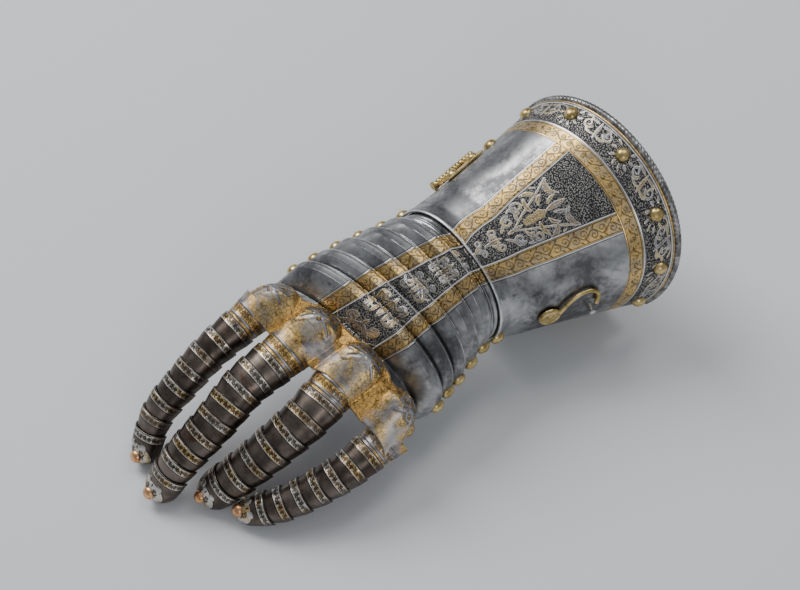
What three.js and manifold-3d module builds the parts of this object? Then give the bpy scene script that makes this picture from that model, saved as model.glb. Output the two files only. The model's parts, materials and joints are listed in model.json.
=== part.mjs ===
// Armoured gauntlet for the left hand, lying palm down on its fingertips and cuff.
// Millimetres, +Z up, fingers toward -Y, little finger side toward +X.
import * as THREE from 'three';
import { mergeVertices } from 'three/addons/utils/BufferGeometryUtils.js';
import Module from 'manifold-3d';

const wasm = await Module();
wasm.setup();

// ---- driving dimensions ----
const plate = 1.2;          // steel of the hand plates
const cuffSteel = 1.3;      // steel of the cuff
const play = 0.45;          // gap between one plate and the next over it
const squareness = 2.3;     // how flat the back of the hand is
const plateTilt = 13;       // the plates' edges lean back this much
const skirt = 8;            // how far the side walls run below the rivets
const scaleSteel = 0.8;
const scalePlay = 0.35;
const leather = 1;
const crownRatio = 0.85;      // rounding of a finger scale, height to half width
const sideRivet = { radius: 4.2, height: 2.8 };
const rimRivet = { radius: 4, height: 3 };
const tipRivet = { radius: 3.5, height: 2 };
const flushRivet = { radius: 2, height: 0.35 };
const shift = new THREE.Vector3(-20.8, 19.1, 0.5);   // brings the middle of the piece to the origin

// Pivot lines across the hand, wrist first: middle point, half width and
// height of the arch under the upper plate, roll, lead of the near end.
const pivots = [
  { x: 13.6, y: 22.7, z: 54, half: 39.3, rise: 32, roll: 18, lead: 1 },
  { x: 12.2, y: 11.6, z: 53, half: 40.3, rise: 31.5, roll: 17, lead: 4 },
  { x: 12, y: 0, z: 52, half: 43.3, rise: 31, roll: 16, lead: 6 },
  { x: 12.2, y: -12, z: 51, half: 46.3, rise: 30, roll: 15, lead: 8 },
  { x: 12.1, y: -23, z: 50, half: 48.3, rise: 29, roll: 14, lead: 12 },
  { x: 12.3, y: -33.5, z: 48, half: 50.8, rise: 28, roll: 13, lead: 15 },
  { x: 9.9, y: -54.7, z: 42, half: 52.8, rise: 25, roll: 11, lead: 19 },
];

// Each finger: the ridge line from the knuckle to the tip, half width at both
// ends, depth of the side walls at both ends, and how many scales it carries.
const fingers = [
  { name: 'index', scales: 7, wide: [10.5, 9], deep: [14, 10],
    ridge: [[-32, -80, 64], [-32, -104, 57], [-31, -124, 47], [-31, -144, 30], [-25, -161, 5]] },
  { name: 'middle', scales: 8, wide: [13, 10.5], deep: [15, 11],
    ridge: [[-3, -79, 66], [-3, -104, 60], [-1, -127, 48], [-2, -150, 31], [-4, -169, 6]] },
  { name: 'ring', scales: 6, wide: [13.5, 11], deep: [15, 11],
    ridge: [[27, -72, 60], [29, -91, 54], [27, -111, 43], [22, -133, 27], [13.5, -150, 7]] },
  { name: 'little', scales: 6, wide: [11, 9], deep: [13, 10],
    ridge: [[59, -66, 41], [58, -88, 35], [52, -108, 26], [43.3, -126, 18], [31, -139, 8.5]] },
];

const colours = {
  steel: { color: 0x6f7072, roughness: 0.38, metalness: 0.9 },
  gilt: { color: 0xb08c46, roughness: 0.42, metalness: 0.9 },
  russet: { color: 0x40352d, roughness: 0.45, metalness: 0.75 },
  leather: { color: 0x5c3020, roughness: 0.8, metalness: 0 },
  brass: { color: 0x8d7438, roughness: 0.4, metalness: 0.85 },
};

const rad = THREE.MathUtils.degToRad;
const lerp = THREE.MathUtils.lerp;
const V = (x, y, z) => new THREE.Vector3(x, y, z);

// ---- solids ----
// A closed sheet between two grids of points, outer face first.
function sheet(outer, inner) {
  const rows = outer.length;
  const cols = outer[0].length;
  const points = [...outer.flat(), ...inner.flat()];
  const base = rows * cols;
  const index = [];
  const quad = (a, b, c, d) => index.push(a, b, c, a, c, d);
  const at = (r, c, side) => side * base + r * cols + c;
  for (let r = 0; r < rows - 1; r += 1) {
    for (let c = 0; c < cols - 1; c += 1) {
      quad(at(r, c, 0), at(r, c + 1, 0), at(r + 1, c + 1, 0), at(r + 1, c, 0));
      quad(at(r, c, 1), at(r + 1, c, 1), at(r + 1, c + 1, 1), at(r, c + 1, 1));
    }
    quad(at(r, 0, 0), at(r + 1, 0, 0), at(r + 1, 0, 1), at(r, 0, 1));
    quad(at(r, cols - 1, 0), at(r, cols - 1, 1), at(r + 1, cols - 1, 1), at(r + 1, cols - 1, 0));
  }
  for (let c = 0; c < cols - 1; c += 1) {
    quad(at(0, c, 0), at(0, c, 1), at(0, c + 1, 1), at(0, c + 1, 0));
    quad(at(rows - 1, c, 0), at(rows - 1, c + 1, 0), at(rows - 1, c + 1, 1), at(rows - 1, c, 1));
  }
  const geometry = new THREE.BufferGeometry();
  geometry.setAttribute('position', new THREE.Float32BufferAttribute(points.flatMap((p) => [p.x, p.y, p.z]), 3));
  geometry.setIndex(index);
  return faceOut(geometry);
}

// Turns every face over when the whole solid is inside out.
function faceOut(geometry) {
  const pos = geometry.attributes.position;
  const index = geometry.index.array;
  const [a, b, c] = [V(), V(), V()];
  let volume = 0;
  for (let i = 0; i < index.length; i += 3) {
    a.fromBufferAttribute(pos, index[i]);
    b.fromBufferAttribute(pos, index[i + 1]);
    c.fromBufferAttribute(pos, index[i + 2]);
    volume += a.dot(b.cross(c));
  }
  if (volume < 0) {
    for (let i = 0; i < index.length; i += 3) {
      [index[i], index[i + 1]] = [index[i + 1], index[i]];
    }
  }
  return geometry;
}

function toSolid(geometry) {
  const bare = geometry.clone();
  bare.deleteAttribute('normal');
  bare.deleteAttribute('uv');
  const g = mergeVertices(bare, 1e-4);
  return new wasm.Manifold(new wasm.Mesh({
    numProp: 3,
    vertProperties: new Float32Array(g.attributes.position.array),
    triVerts: new Uint32Array(g.index.array),
  }));
}

function fromSolid(solid) {
  const mesh = solid.getMesh();
  const geometry = new THREE.BufferGeometry();
  geometry.setAttribute('position', new THREE.Float32BufferAttribute(mesh.vertProperties, 3));
  geometry.setIndex([...mesh.triVerts]);
  return geometry;
}

function join(...geometries) {
  return fromSolid(geometries.map(toSolid).reduce((a, b) => a.add(b)));
}

function cut(geometry, ...tools) {
  return fromSolid(tools.map(toSolid).reduce((a, b) => a.subtract(b), toSolid(geometry)));
}

// Turns a shape that stands on +Y so that it stands on a surface.
function stand(geometry, place, normal) {
  const turn = new THREE.Quaternion().setFromUnitVectors(V(0, 1, 0), normal);
  return geometry.clone().applyMatrix4(new THREE.Matrix4().compose(place, turn, V(1, 1, 1)));
}

function lathe(profile, sides) {
  return new THREE.LatheGeometry(profile.map(([r, y]) => new THREE.Vector2(r, y)), sides);
}

function domeRivet({ radius, height }, root = 0.9) {
  const profile = [[0, -root], [radius, -root], [radius, height * 0.25], [radius * 0.66, height * 0.85], [0, height]];
  return lathe(profile, 7);
}

function discRivet({ radius, height }, root = 0.5) {
  return lathe([[0, -root], [radius, -root], [radius, height], [0, height]], 7);
}

// ---- the hand ----
// Axes of a pivot line: across (toward the near side), up and forward.
function frameOf({ roll, lead, half, tilt = plateTilt }) {
  const across = V(Math.cos(rad(roll)), lead / (2 * half), -Math.sin(rad(roll))).normalize();
  const lean = V(0, -Math.cos(rad(tilt)), Math.sin(rad(tilt)));
  const forward = lean.addScaledVector(across, -lean.dot(across)).normalize();
  return { across, forward, up: forward.clone().cross(across) };
}

// A point of the arch that turns about a pivot line. Everything at one "off"
// lies on a surface of revolution about the line, so plates slide freely.
function archPoint(pivot, ahead, angle, off) {
  const { across, forward, up } = frameOf(pivot);
  const half = pivot.half + off;
  const rise = pivot.rise + off;
  const past = Math.abs(angle) - 90;
  const u = past > 0 ? -skirt * past / 16 : Math.cos(rad(angle)) * Math.sqrt(rise * rise - ahead * ahead);
  const out = Math.min(Math.hypot(u, ahead) / rise, 1);
  const s = Math.sign(angle) * half * (1 - out ** squareness) ** (1 / squareness);
  return V(pivot.x, pivot.y, pivot.z)
    .addScaledVector(across, s)
    .addScaledVector(up, u)
    .addScaledVector(forward, ahead);
}

function spread(from, to, steps) {
  return Array.from({ length: steps + 1 }, (_, i) => lerp(from, to, i / steps));
}

const handAngles = [-106, -97, ...spread(-90, 90, 14), 97, 106];

// Rows are { pivot, ahead, off }: off is where the outer face lies.
function archSheet(rows, thick, angles = handAngles) {
  const face = (lower) => rows.map((row) => angles.map((angle) => {
    const ahead = typeof row.ahead === 'function' ? row.ahead(angle) : row.ahead;
    return archPoint(row.pivot, ahead, angle, row.off - lower);
  }));
  return sheet(face(0), face(thick));
}

function pivotEnd(pivot, side, off) {
  const { across } = frameOf(pivot);
  return V(pivot.x, pivot.y, pivot.z).addScaledVector(across, side * (pivot.half + off));
}

function sidePair(pivot, off, shape) {
  const { across } = frameOf(pivot);
  return [-1, 1].map((side) => stand(shape, pivotEnd(pivot, side, off), across.clone().multiplyScalar(side)));
}

const over = play + plate;
const wristLame = archSheet([
  { pivot: pivots[0], ahead: -5, off: 0 },
  { pivot: pivots[0], ahead: 4.5, off: 0 },
  { pivot: pivots[1], ahead: -3.6, off: 0 },
  { pivot: pivots[1], ahead: 2.5, off: 0 },
], plate);

function lame(k) {
  const sheetBody = archSheet([
    { pivot: pivots[k], ahead: -2, off: over },
    { pivot: pivots[k], ahead: 4, off: over },
    { pivot: pivots[k + 1], ahead: k === 5 ? -8 : -3.6, off: 0 },
    { pivot: pivots[k + 1], ahead: 2.5, off: 0 },
  ], plate);
  return join(sheetBody, ...sidePair(pivots[k], over, domeRivet(sideRivet)));
}

// ---- the knuckles and fingers ----
function fingerPath({ ridge }) {
  return new THREE.CatmullRomCurve3(ridge.map((p) => V(...p)), false, 'centripetal');
}

const runs = fingers.map((finger) => ({ ...finger, path: fingerPath(finger), length: fingerPath(finger).getLength() }));

// A point of the finger's channel section at a distance along the ridge.
function fingerPoint(run, along, turn, inset, close = 1) {
  const t = Math.min(Math.max(along / run.length, 0), 1);
  const forward = run.path.getTangentAt(t);
  const across = V(1, 0, 0).addScaledVector(forward, -forward.x).normalize();
  const up = forward.clone().cross(across);
  const half = lerp(...run.wide, t);
  const crown = half * crownRatio;
  const wall = lerp(...run.deep, t) - crown;
  const w = Math.max(half * close - inset, 0.15);
  const past = Math.abs(turn) - 90;
  const level = past > 0 ? -wall * close * past / 30 : w * crownRatio * Math.cos(rad(turn));
  const side = w * Math.sin(rad(Math.min(90, Math.max(-90, turn))));
  return run.path.getPointAt(t)
    .addScaledVector(forward, along - t * run.length)
    .addScaledVector(across, side)
    .addScaledVector(up, level - crown);
}

const fingerTurns = [-120, -90, -62, -32, 0, 32, 62, 90, 120];
const under = scaleSteel + scalePlay;

function fingerSheet(run, rows, thick, turns = fingerTurns) {
  const face = (lower) => rows.map((row) => turns.map((turn) =>
    fingerPoint(run, row.along, turn, row.inset + lower, row.close ?? 1)));
  return sheet(face(0), face(thick));
}

// Scale k starts over the end of the one behind it; the last one is the tip.
const neckReach = 4;
const tipLength = 21;
const tuck = 3;
const strapPlay = 0.8;

function scaleStarts(run) {
  return spread(neckReach, run.length - tipLength, run.scales);
}

function fingerScale(run, k) {
  const starts = scaleStarts(run);
  const [from, to] = [starts[k], starts[k + 1]];
  return fingerSheet(run, [
    { along: from, inset: 0 },
    { along: from + tuck + 0.6, inset: 0.1 },
    { along: to + tuck, inset: under * 1.4 },
  ], scaleSteel);
}

function normalAt(point, a, b) {
  return a.clone().sub(point).cross(b.clone().sub(point)).normalize();
}

function onFinger(run, along, turn, close, shape) {
  const place = fingerPoint(run, along, turn, 0, close);
  const beside = fingerPoint(run, along, turn + 4, 0, close);
  const ahead = fingerPoint(run, along + 1, turn, 0, close - 0.02);
  return stand(shape, place, normalAt(place, ahead, beside));
}

function fingerTip(run) {
  const from = run.length - tipLength;
  const rows = [[0, 0, 1], [8, 0.25, 1], [14, 0.3, 0.93], [18.5, 0.3, 0.72], [21, 0.3, 0.36]];
  const face = (lower, back) => rows.map(([along, inset, close]) => fingerTurns.map((turn) =>
    fingerPoint(run, from + along - back * (along / tipLength), turn, inset + lower, close)));
  const hood = sheet(face(0, 0), face(scaleSteel, scaleSteel));
  const end = onFinger(run, from + 16.6, 0, 0.84, domeRivet(tipRivet));
  const flush = [-24, 24].map((turn) => onFinger(run, from + 9, turn, 0.98, discRivet(flushRivet)));
  return join(hood, end, ...flush);
}

function fingerStrap(run) {
  const stops = [neckReach + 5, ...scaleStarts(run).slice(1), run.length - tipLength * 0.6];
  const rows = stops.map((along) => ({ along, inset: under + scaleSteel + strapPlay }));
  return fingerSheet(run, rows, leather, [-124, -90, -45, 0, 45, 90, 124]);
}

// The knuckle plate: an arch with four domes, each running on into a neck.
const knuckleEnd = { x: 12.5, y: -75, z: 36, half: 51, rise: 22, roll: 10, lead: 14 };
const dome = { ball: 17, sunk: 11, scallop: 4 };
const domePlaces = [
  { angle: -44, ahead: 6 },
  { angle: -10.5, ahead: 6 },
  { angle: 14.5, ahead: 6 },
  { angle: 57, ahead: 6 },
];

const knuckleAngles = [-106, -97, ...spread(-90, 90, 26), 97, 106];

function knuckleBase(angle, row, off) {
  const start = archPoint(pivots[6], 4, angle, off);
  const end = archPoint(knuckleEnd, 0, angle, off);
  return start.lerp(end, row);
}

function lift(point, lines) {
  let best = 0;
  lines.forEach((line) => {
    const near = line.closestPointToPoint(point, true, V());
    const away = near.distanceTo(point);
    if (away < dome.ball) best = Math.max(best, Math.sqrt(dome.ball ** 2 - away ** 2) - dome.sunk);
  });
  return best;
}

function knucklePlate() {
  const off = over;
  const lines = domePlaces.map(({ angle, ahead }, i) => {
    const end = runs[i].path.getPointAt(0).addScaledVector(runs[i].path.getTangentAt(0), 2);
    end.z -= dome.ball - dome.sunk + 0.5;
    return new THREE.Line3(archPoint(pivots[6], ahead, angle, off), end);
  });
  const outward = (angle) => frameOf(pivots[6]).up.clone().multiplyScalar(Math.cos(rad(Math.min(80, Math.abs(angle)))))
    .addScaledVector(frameOf(pivots[6]).across, Math.sin(rad(angle)));
  const edge = (angle) => {
    const reach = domePlaces.map((d) => Math.max(0, 1 - ((angle - d.angle) / 17) ** 2));
    return -2 - dome.scallop * Math.sqrt(Math.max(...reach));
  };
  const base = (angle, r, lower) => {
    const place = off - lower;
    if (r < 3) return archPoint(pivots[6], lerp(edge(angle), 4, r / 3), angle, place);
    return knuckleBase(angle, (r - 3) / 4, place);
  };
  const face = (lower) => [0, 1, 2, 3, 4, 5, 6, 7].map((r) => knuckleAngles.map((angle) => {
    const point = base(angle, r, lower);
    return point.addScaledVector(outward(angle), lift(base(angle, r, 0), lines));
  }));
  const body = sheet(face(0), face(plate));
  const necks = runs.map((run) => fingerSheet(run, [
    { along: -11, inset: -0.8 },
    { along: -3, inset: 0.2 },
    { along: neckReach - 0.6, inset: under },
    { along: neckReach + tuck, inset: under },
  ], scaleSteel));
  return join(body, ...necks, ...sidePair(pivots[6], over, domeRivet(sideRivet)));
}

// ---- the cuff ----
const cuffWrist = { x: 14.2, y: 28.5, z: 53, half: 41.8, rise: 33.5, roll: 18, tilt: 14 };
const cuffRim = { x: 25.5, y: 114, z: 54.7, half: 61, rise: 57.5, roll: 14, tilt: 16 };
const cuffLayer = cuffSteel + play;
const cuffAngles = spread(-86, 107, 18);
const tongueAngles = cuffAngles.slice(14);

// v runs from the wrist (0) to the rim (1); angles start at the back of the
// hand and grow toward the little finger side.
function cuffPoint(v, angle, off) {
  const flare = v ** 1.15;
  const at = (key, t = v) => lerp(cuffWrist[key], cuffRim[key], t);
  const { across, up } = frameOf({ roll: at('roll'), lead: 0, half: 1, tilt: at('tilt') });
  const half = at('half', flare) + off;
  const rise = at('rise', flare) + off;
  const round = (x) => Math.sign(x) * Math.abs(x) ** (2 / 2.1);
  return V(at('x'), at('y'), at('z'))
    .addScaledVector(across, half * round(Math.sin(rad(angle))))
    .addScaledVector(up, rise * round(Math.cos(rad(angle))));
}

function cuffNormal(v, angle) {
  const place = cuffPoint(v, angle, 0);
  return normalAt(place, cuffPoint(v, angle + 3, 0), cuffPoint(v + 0.04, angle, 0));
}

function onCuff(v, angle, off, shape) {
  const normal = cuffNormal(v, angle);
  return stand(shape, cuffPoint(v, angle, off), normal);
}

// The turned edge is a bead that swells out of the sheet on both faces.
const bead = [
  { v: 0.955, out: 0, under: 0 },
  { v: 0.97, out: 1.6, under: 1.2 },
  { v: 1, out: 0.9, under: 0.6 },
];
const rimAngles = [-74, -37, 0, 35, 69, 102];
const lowerRimAngles = [128, 158, 188, 218, 248];
const rimLine = 0.885;
const stud = { v: 0.5, angle: 83, radius: 2 };
const hook = { v: 0.235, angle: 79, radius: 6.4, thick: 1.6, lift: 0.4, pin: 1.5, arm: 1.3 };
const notchWidth = 7;

function cuffOuter() {
  const angles = cuffAngles;
  const wristRows = [3.2, -5];
  const lines = [0.14, 0.35, 0.6, 0.83];
  const face = (inside) => [
    ...wristRows.map((ahead) => angles.map((angle) => archPoint(pivots[0], ahead, angle, play + (inside ? 0 : cuffSteel)))),
    ...lines.map((v) => angles.map((angle) => cuffPoint(v, angle, inside ? -cuffSteel : 0))),
    ...bead.map((b) => angles.map((angle) => cuffPoint(b.v, angle, inside ? -cuffSteel - b.under : b.out))),
  ];
  const body = sheet(face(false), face(true));
  const rivets = rimAngles.map((angle) => onCuff(rimLine, angle, 0, domeRivet(rimRivet)));
  const far = onCuff(0.61, -79, 0, domeRivet(sideRivet));
  const bore = onCuff(hook.v, hook.angle, 0, lathe([[0, -4], [hook.pin + 0.35, -4], [hook.pin + 0.35, 4], [0, 4]], 10));
  const slot = new THREE.BoxGeometry(notchWidth, 30, 34).translate(0, 0, 17);
  const studPlace = cuffPoint(stud.v, stud.angle, 0);
  const down = hingeAxis.clone().cross(studPlace.clone().sub(hingeEnds[0])).normalize();
  const normal = cuffNormal(stud.v, stud.angle);
  normal.addScaledVector(down, -normal.dot(down)).normalize();
  const turn = new THREE.Matrix4().makeBasis(normal.clone().cross(down), normal, down)
    .setPosition(studPlace.addScaledVector(down, -notchWidth / 2));
  const joined = join(body, ...rivets, far, ...sidePair(pivots[0], over + 0.1, domeRivet(sideRivet)));
  return cut(joined, slot.applyMatrix4(turn), bore);
}

function cuffInner() {
  const angles = [...tongueAngles, ...spread(118, 270, 14)];
  const tongue = (angle) => angle < 115;
  const lines = [0.14, 0.35, 0.6, 0.83];
  const layer = (v, angle, off) => cuffPoint(v, angle, off - cuffLayer);
  const face = (inside) => [
    ...lines.map((v) => angles.map((angle) => layer(v, angle, inside ? -cuffSteel : 0))),
    ...bead.map((b, i) => angles.map((angle) => (tongue(angle)
      ? layer(0.88 + 0.01 * i, angle, inside ? -cuffSteel : 0)
      : layer(b.v, angle, inside ? -cuffSteel - b.under : b.out)))),
  ];
  const body = sheet(face(false), face(true));
  const rivets = lowerRimAngles.map((angle) => onCuff(rimLine, angle, -cuffLayer, domeRivet(rimRivet)));
  const pin = lathe([[0, -cuffSteel], [stud.radius, -cuffSteel], [stud.radius, 6.6], [stud.radius * 0.5, 7.4], [0, 7.4]], 10);
  return join(body, ...rivets, onCuff(stud.v, stud.angle, -cuffLayer, pin));
}

// The pivot hook: a disc on a pin, with an arm that curls down to the stud.
const armLine = [[0.275, 75], [0.325, 68], [0.385, 64], [0.45, 64], [0.497, 69], [0.502, 77.2]];

function pivotHook() {
  const { radius, thick, lift, pin } = hook;
  const disc = onCuff(hook.v, hook.angle, 0, lathe([
    [0, -cuffSteel - 0.1], [pin, -cuffSteel - 0.1], [pin, lift], [radius, lift],
    [radius, lift + thick * 0.7], [radius - 0.6, lift + thick], [0, lift + thick],
  ], 16));
  const path = new THREE.CatmullRomCurve3(armLine.map(([v, angle]) => cuffPoint(v, angle, lift + hook.arm + 0.5)));
  const round = new THREE.Shape(spread(0, 300, 5).map((a) =>
    new THREE.Vector2(hook.arm * Math.cos(rad(a)), hook.arm * Math.sin(rad(a)))));
  const arm = new THREE.ExtrudeGeometry(round, { steps: 12, bevelEnabled: false, extrudePath: path });
  return join(disc, arm);
}

// The hinge: a leaf on each half of the cuff and a barrel of three knuckles.
const hingeSpan = [0.215, 0.55];
const barrel = { radius: 2.3, off: 2.9, angle: -89, pin: 1.1, bore: 1.5 };
const upperLeaf = [[-89.5, 3.6, 2.3], [-87.5, 3, 1.6], [-85.5, 1.9, 0.6], [-83, 1.6, 0.5]];
const lowerLeaf = [[-88.5, 3.6, 2.2], [-91.5, 2.2, 0.9], [-94, 0.2, -1.1], [-97, -0.3, -1.4]];

function leafSheet(columns, from, to) {
  const lines = [from, (from + to) / 2, to];
  return sheet(
    lines.map((v) => columns.map(([angle, top]) => cuffPoint(v, angle, top))),
    lines.map((v) => columns.map(([angle, , bottom]) => cuffPoint(v, angle, bottom))),
  );
}

const hingeEnds = hingeSpan.map((v) => cuffPoint(v, barrel.angle, barrel.off));
const hingeAxis = hingeEnds[1].clone().sub(hingeEnds[0]).normalize();
const hingeLength = hingeEnds[0].distanceTo(hingeEnds[1]);

function barrelPiece(from, to, profile) {
  const length = (to - from) * hingeLength;
  const place = hingeEnds[0].clone().addScaledVector(hingeAxis, from * hingeLength);
  return stand(lathe(profile(length), 10), place, hingeAxis);
}

const solidRound = (radius) => (length) => [[0, 0], [radius, 0], [radius, length], [0, length]];
const acrossHinge = (t) => lerp(...hingeSpan, t);

function hingeUpper() {
  const leaf = leafSheet([[-84, 1.6, 0.5], [-79, 1.6, 0.5], [-74, 1.6, 0.5]], acrossHinge(0.08), acrossHinge(0.92));
  const tabs = [[0.02, 0.32], [0.68, 0.98]].map(([a, b]) => leafSheet(upperLeaf, acrossHinge(a), acrossHinge(b)));
  const rounds = [[0, 0.33], [0.67, 1]].map(([a, b]) => barrelPiece(a, b, solidRound(barrel.radius)));
  const pin = barrelPiece(0, 1, solidRound(barrel.pin));
  const boss = barrelPiece(-0.05, 0.02, solidRound(barrel.radius + 0.6));
  const rivets = [0.25, 0.75].map((t) => onCuff(acrossHinge(t), -79, 1.5, domeRivet({ radius: 3.4, height: 2.4 }, 0.4)));
  return join(leaf, ...tabs, ...rounds, pin, boss, ...rivets);
}

function hingeLower() {
  const leaf = leafSheet([[-96.5, -0.3, -1.4], [-101, -0.3, -1.4], [-106, -0.3, -1.4]], acrossHinge(0.08), acrossHinge(0.92));
  const tab = leafSheet(lowerLeaf, acrossHinge(0.37), acrossHinge(0.63));
  const ring = barrelPiece(0.35, 0.65, (length) => [
    [barrel.bore, 0], [barrel.radius, 0], [barrel.radius, length], [barrel.bore, length], [barrel.bore, 0],
  ]);
  const hole = barrelPiece(0.3, 0.7, solidRound(barrel.bore - 0.01));
  return join(cut(join(leaf, tab, ring), hole));
}

// ---- assembly ----
const group = new THREE.Group();
group.name = 'armoured_gauntlet';
const moved = new THREE.Group();
moved.name = 'gauntlet_body';
moved.position.copy(shift);
group.add(moved);

function add(name, geometry, colour, parent = moved) {
  const material = new THREE.MeshStandardMaterial(colour);
  const mesh = new THREE.Mesh(geometry, material);
  mesh.name = name;
  parent.add(mesh);
  return mesh;
}

add('cuff_outer', cuffOuter(), colours.steel);
add('cuff_inner', cuffInner(), colours.steel);
add('hinge_upper', hingeUpper(), colours.brass);
add('hinge_lower', hingeLower(), colours.brass);
add('pivot_hook', pivotHook(), colours.brass);
add('wrist_lame', wristLame, colours.steel);
['a', 'b', 'c', 'd'].forEach((letter, i) => add(`lame_${letter}`, lame(i + 1), colours.steel));
add('metacarpal_plate', lame(5), colours.steel);
add('knuckle_plate', knucklePlate(), colours.gilt);
runs.forEach((run) => {
  for (let k = 0; k < run.scales; k += 1) {
    add(`${run.name}_scale_${k + 1}`, fingerScale(run, k), colours.russet);
  }
  add(`${run.name}_tip`, fingerTip(run), colours.russet);
  add(`${run.name}_strap`, fingerStrap(run), colours.leather);
});

export default group;
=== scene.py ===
import json
import math

import bpy
import numpy as np
from mathutils import Matrix, Vector
from mathutils.kdtree import KDTree


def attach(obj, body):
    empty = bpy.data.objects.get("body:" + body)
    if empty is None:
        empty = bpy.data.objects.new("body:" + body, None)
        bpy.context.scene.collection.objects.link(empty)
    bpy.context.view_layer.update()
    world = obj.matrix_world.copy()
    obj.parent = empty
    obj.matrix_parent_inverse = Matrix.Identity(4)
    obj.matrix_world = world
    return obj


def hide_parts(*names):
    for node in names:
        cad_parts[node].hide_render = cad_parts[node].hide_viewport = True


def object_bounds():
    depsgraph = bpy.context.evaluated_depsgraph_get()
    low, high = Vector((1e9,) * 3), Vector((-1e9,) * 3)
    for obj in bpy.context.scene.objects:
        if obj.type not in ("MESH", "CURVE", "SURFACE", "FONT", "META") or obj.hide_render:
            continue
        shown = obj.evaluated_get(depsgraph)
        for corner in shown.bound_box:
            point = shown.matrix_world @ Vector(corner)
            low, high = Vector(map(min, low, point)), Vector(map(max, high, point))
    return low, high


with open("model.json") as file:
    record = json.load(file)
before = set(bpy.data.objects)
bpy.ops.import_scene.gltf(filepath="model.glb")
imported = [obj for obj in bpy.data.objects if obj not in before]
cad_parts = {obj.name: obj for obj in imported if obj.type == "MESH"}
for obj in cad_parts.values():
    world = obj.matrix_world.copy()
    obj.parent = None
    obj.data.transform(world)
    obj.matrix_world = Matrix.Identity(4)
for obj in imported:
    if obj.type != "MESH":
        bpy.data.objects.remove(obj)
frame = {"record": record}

# Lengths are in millimetres up to the moment a mesh gets its points.
cadBox = [list(corner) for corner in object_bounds()]
joints = {joint["name"]: joint for joint in frame["record"]["behaviour"]["joints"]}
mm = 0.001

hand = {
    "pivots": ["wrist_pivot", "lame_a_pivot", "lame_b_pivot", "lame_c_pivot",
               "lame_d_pivot", "metacarpal_pivot", "knuckle_pivot"],
    "half": [39.3, 40.3, 43.3, 46.3, 48.3, 50.8, 52.8],
    "rise": [32, 31.5, 31, 30, 29, 28, 25],
    "tilt": [13, 13, 13, 13, 13, 13, 13], "squareness": 2.3, "skirt": 8,
    "plate": 1.2, "play": 0.45, "reach": 106,
}
cuff = {
    "wrist": {"x": 14.2, "y": 28.5, "z": 53, "half": 41.8, "rise": 33.5, "roll": 18, "tilt": 14},
    "rim": {"x": 25.5, "y": 114, "z": 54.7, "half": 61, "rise": 57.5, "roll": 14, "tilt": 16},
    "flare": 1.15, "round": 2 / 2.1, "steel": 1.3, "firstPivot": (13.6, 22.7, 54),
}

rad = math.radians


def unit(vector):
    vector = np.asarray(vector, float)
    return vector / np.linalg.norm(vector)


def acrossAxis(roll, lead=0.0, half=1.0):
    return unit([math.cos(rad(roll)), lead / (2 * half), -math.sin(rad(roll))])


# across, forward and up of a section that leans back by tilt degrees
def turnedFrame(across, tilt):
    lean = np.array([0, -math.cos(rad(tilt)), math.sin(rad(tilt))])
    forward = unit(lean - across * lean.dot(across))
    return across, forward, np.cross(forward, across)


def signedPower(value, power):
    return np.sign(value) * np.abs(value) ** power


def archPoint(pivot, ahead, angle, off):
    ahead, angle = np.broadcast_arrays(np.asarray(ahead, float), np.asarray(angle, float))
    half, rise = pivot["half"] + off, pivot["rise"] + off
    past = np.abs(angle) - 90
    arch = np.cos(np.radians(angle)) * np.sqrt(rise ** 2 - ahead ** 2)
    u = np.where(past > 0, -hand["skirt"] * past / 16, arch)
    out = np.minimum(np.hypot(u, ahead) / rise, 1)
    s = np.sign(angle) * half * (1 - out ** hand["squareness"]) ** (1 / hand["squareness"])
    return (pivot["place"] + s[..., None] * pivot["across"] + u[..., None] * pivot["up"]
            + ahead[..., None] * pivot["forward"])


def cuffPoint(v, angle, off):
    v, angle, off = np.broadcast_arrays(*(np.asarray(value, float) for value in (v, angle, off)))
    flat = v.ravel()
    flare = np.clip(flat, 0, None) ** cuff["flare"]
    mix = lambda key, t: cuff["wrist"][key] + (cuff["rim"][key] - cuff["wrist"][key]) * t
    roll, tilt = np.radians(mix("roll", flat)), np.radians(mix("tilt", flat))
    across = np.stack([np.cos(roll), 0 * roll, -np.sin(roll)], -1)
    lean = np.stack([0 * tilt, -np.cos(tilt), np.sin(tilt)], -1)
    forward = lean - across * (lean * across).sum(-1, keepdims=True)
    forward /= np.linalg.norm(forward, axis=-1, keepdims=True)
    up = np.cross(forward, across)
    turn = np.radians(angle.ravel())
    side = (mix("half", flare) + off.ravel()) * signedPower(np.sin(turn), cuff["round"])
    high = (mix("rise", flare) + off.ravel()) * signedPower(np.cos(turn), cuff["round"])
    place = np.stack([mix("x", flat), mix("y", flat), mix("z", flat)], -1) + shift
    return (place + side[:, None] * across + high[:, None] * up).reshape(v.shape + (3,))


def makePivots():
    pivots = []
    for name, half, rise, tilt in zip(hand["pivots"], hand["half"], hand["rise"], hand["tilt"]):
        across, forward, up = turnedFrame(unit(joints[name]["axis"]), tilt)
        pivots.append({"place": np.array(joints[name]["pos_m"]) / mm, "across": across,
                       "forward": forward, "up": up, "half": half, "rise": rise})
    return pivots


pivots = makePivots()
shift = pivots[0]["place"] - np.array(cuff["firstPivot"])


# grids of points
# angles whose points stand evenly apart, closer together where the ornament is
def evenAngles(row, low, high, coarse, fine, fineFrom, fineTo):
    dense = np.linspace(low, high, 1500)
    points = row(dense)
    arc = np.concatenate([[0], np.cumsum(np.linalg.norm(np.diff(points, axis=0), axis=1))])
    inFine = (dense >= fineFrom) & (dense <= fineTo)
    cost = np.concatenate([[0], np.cumsum(np.diff(arc) / np.where(inFine[1:], fine, coarse))])
    count = max(8, int(math.ceil(cost[-1])))
    return np.interp(np.linspace(0, cost[-1], count + 1), cost, dense)


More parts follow.
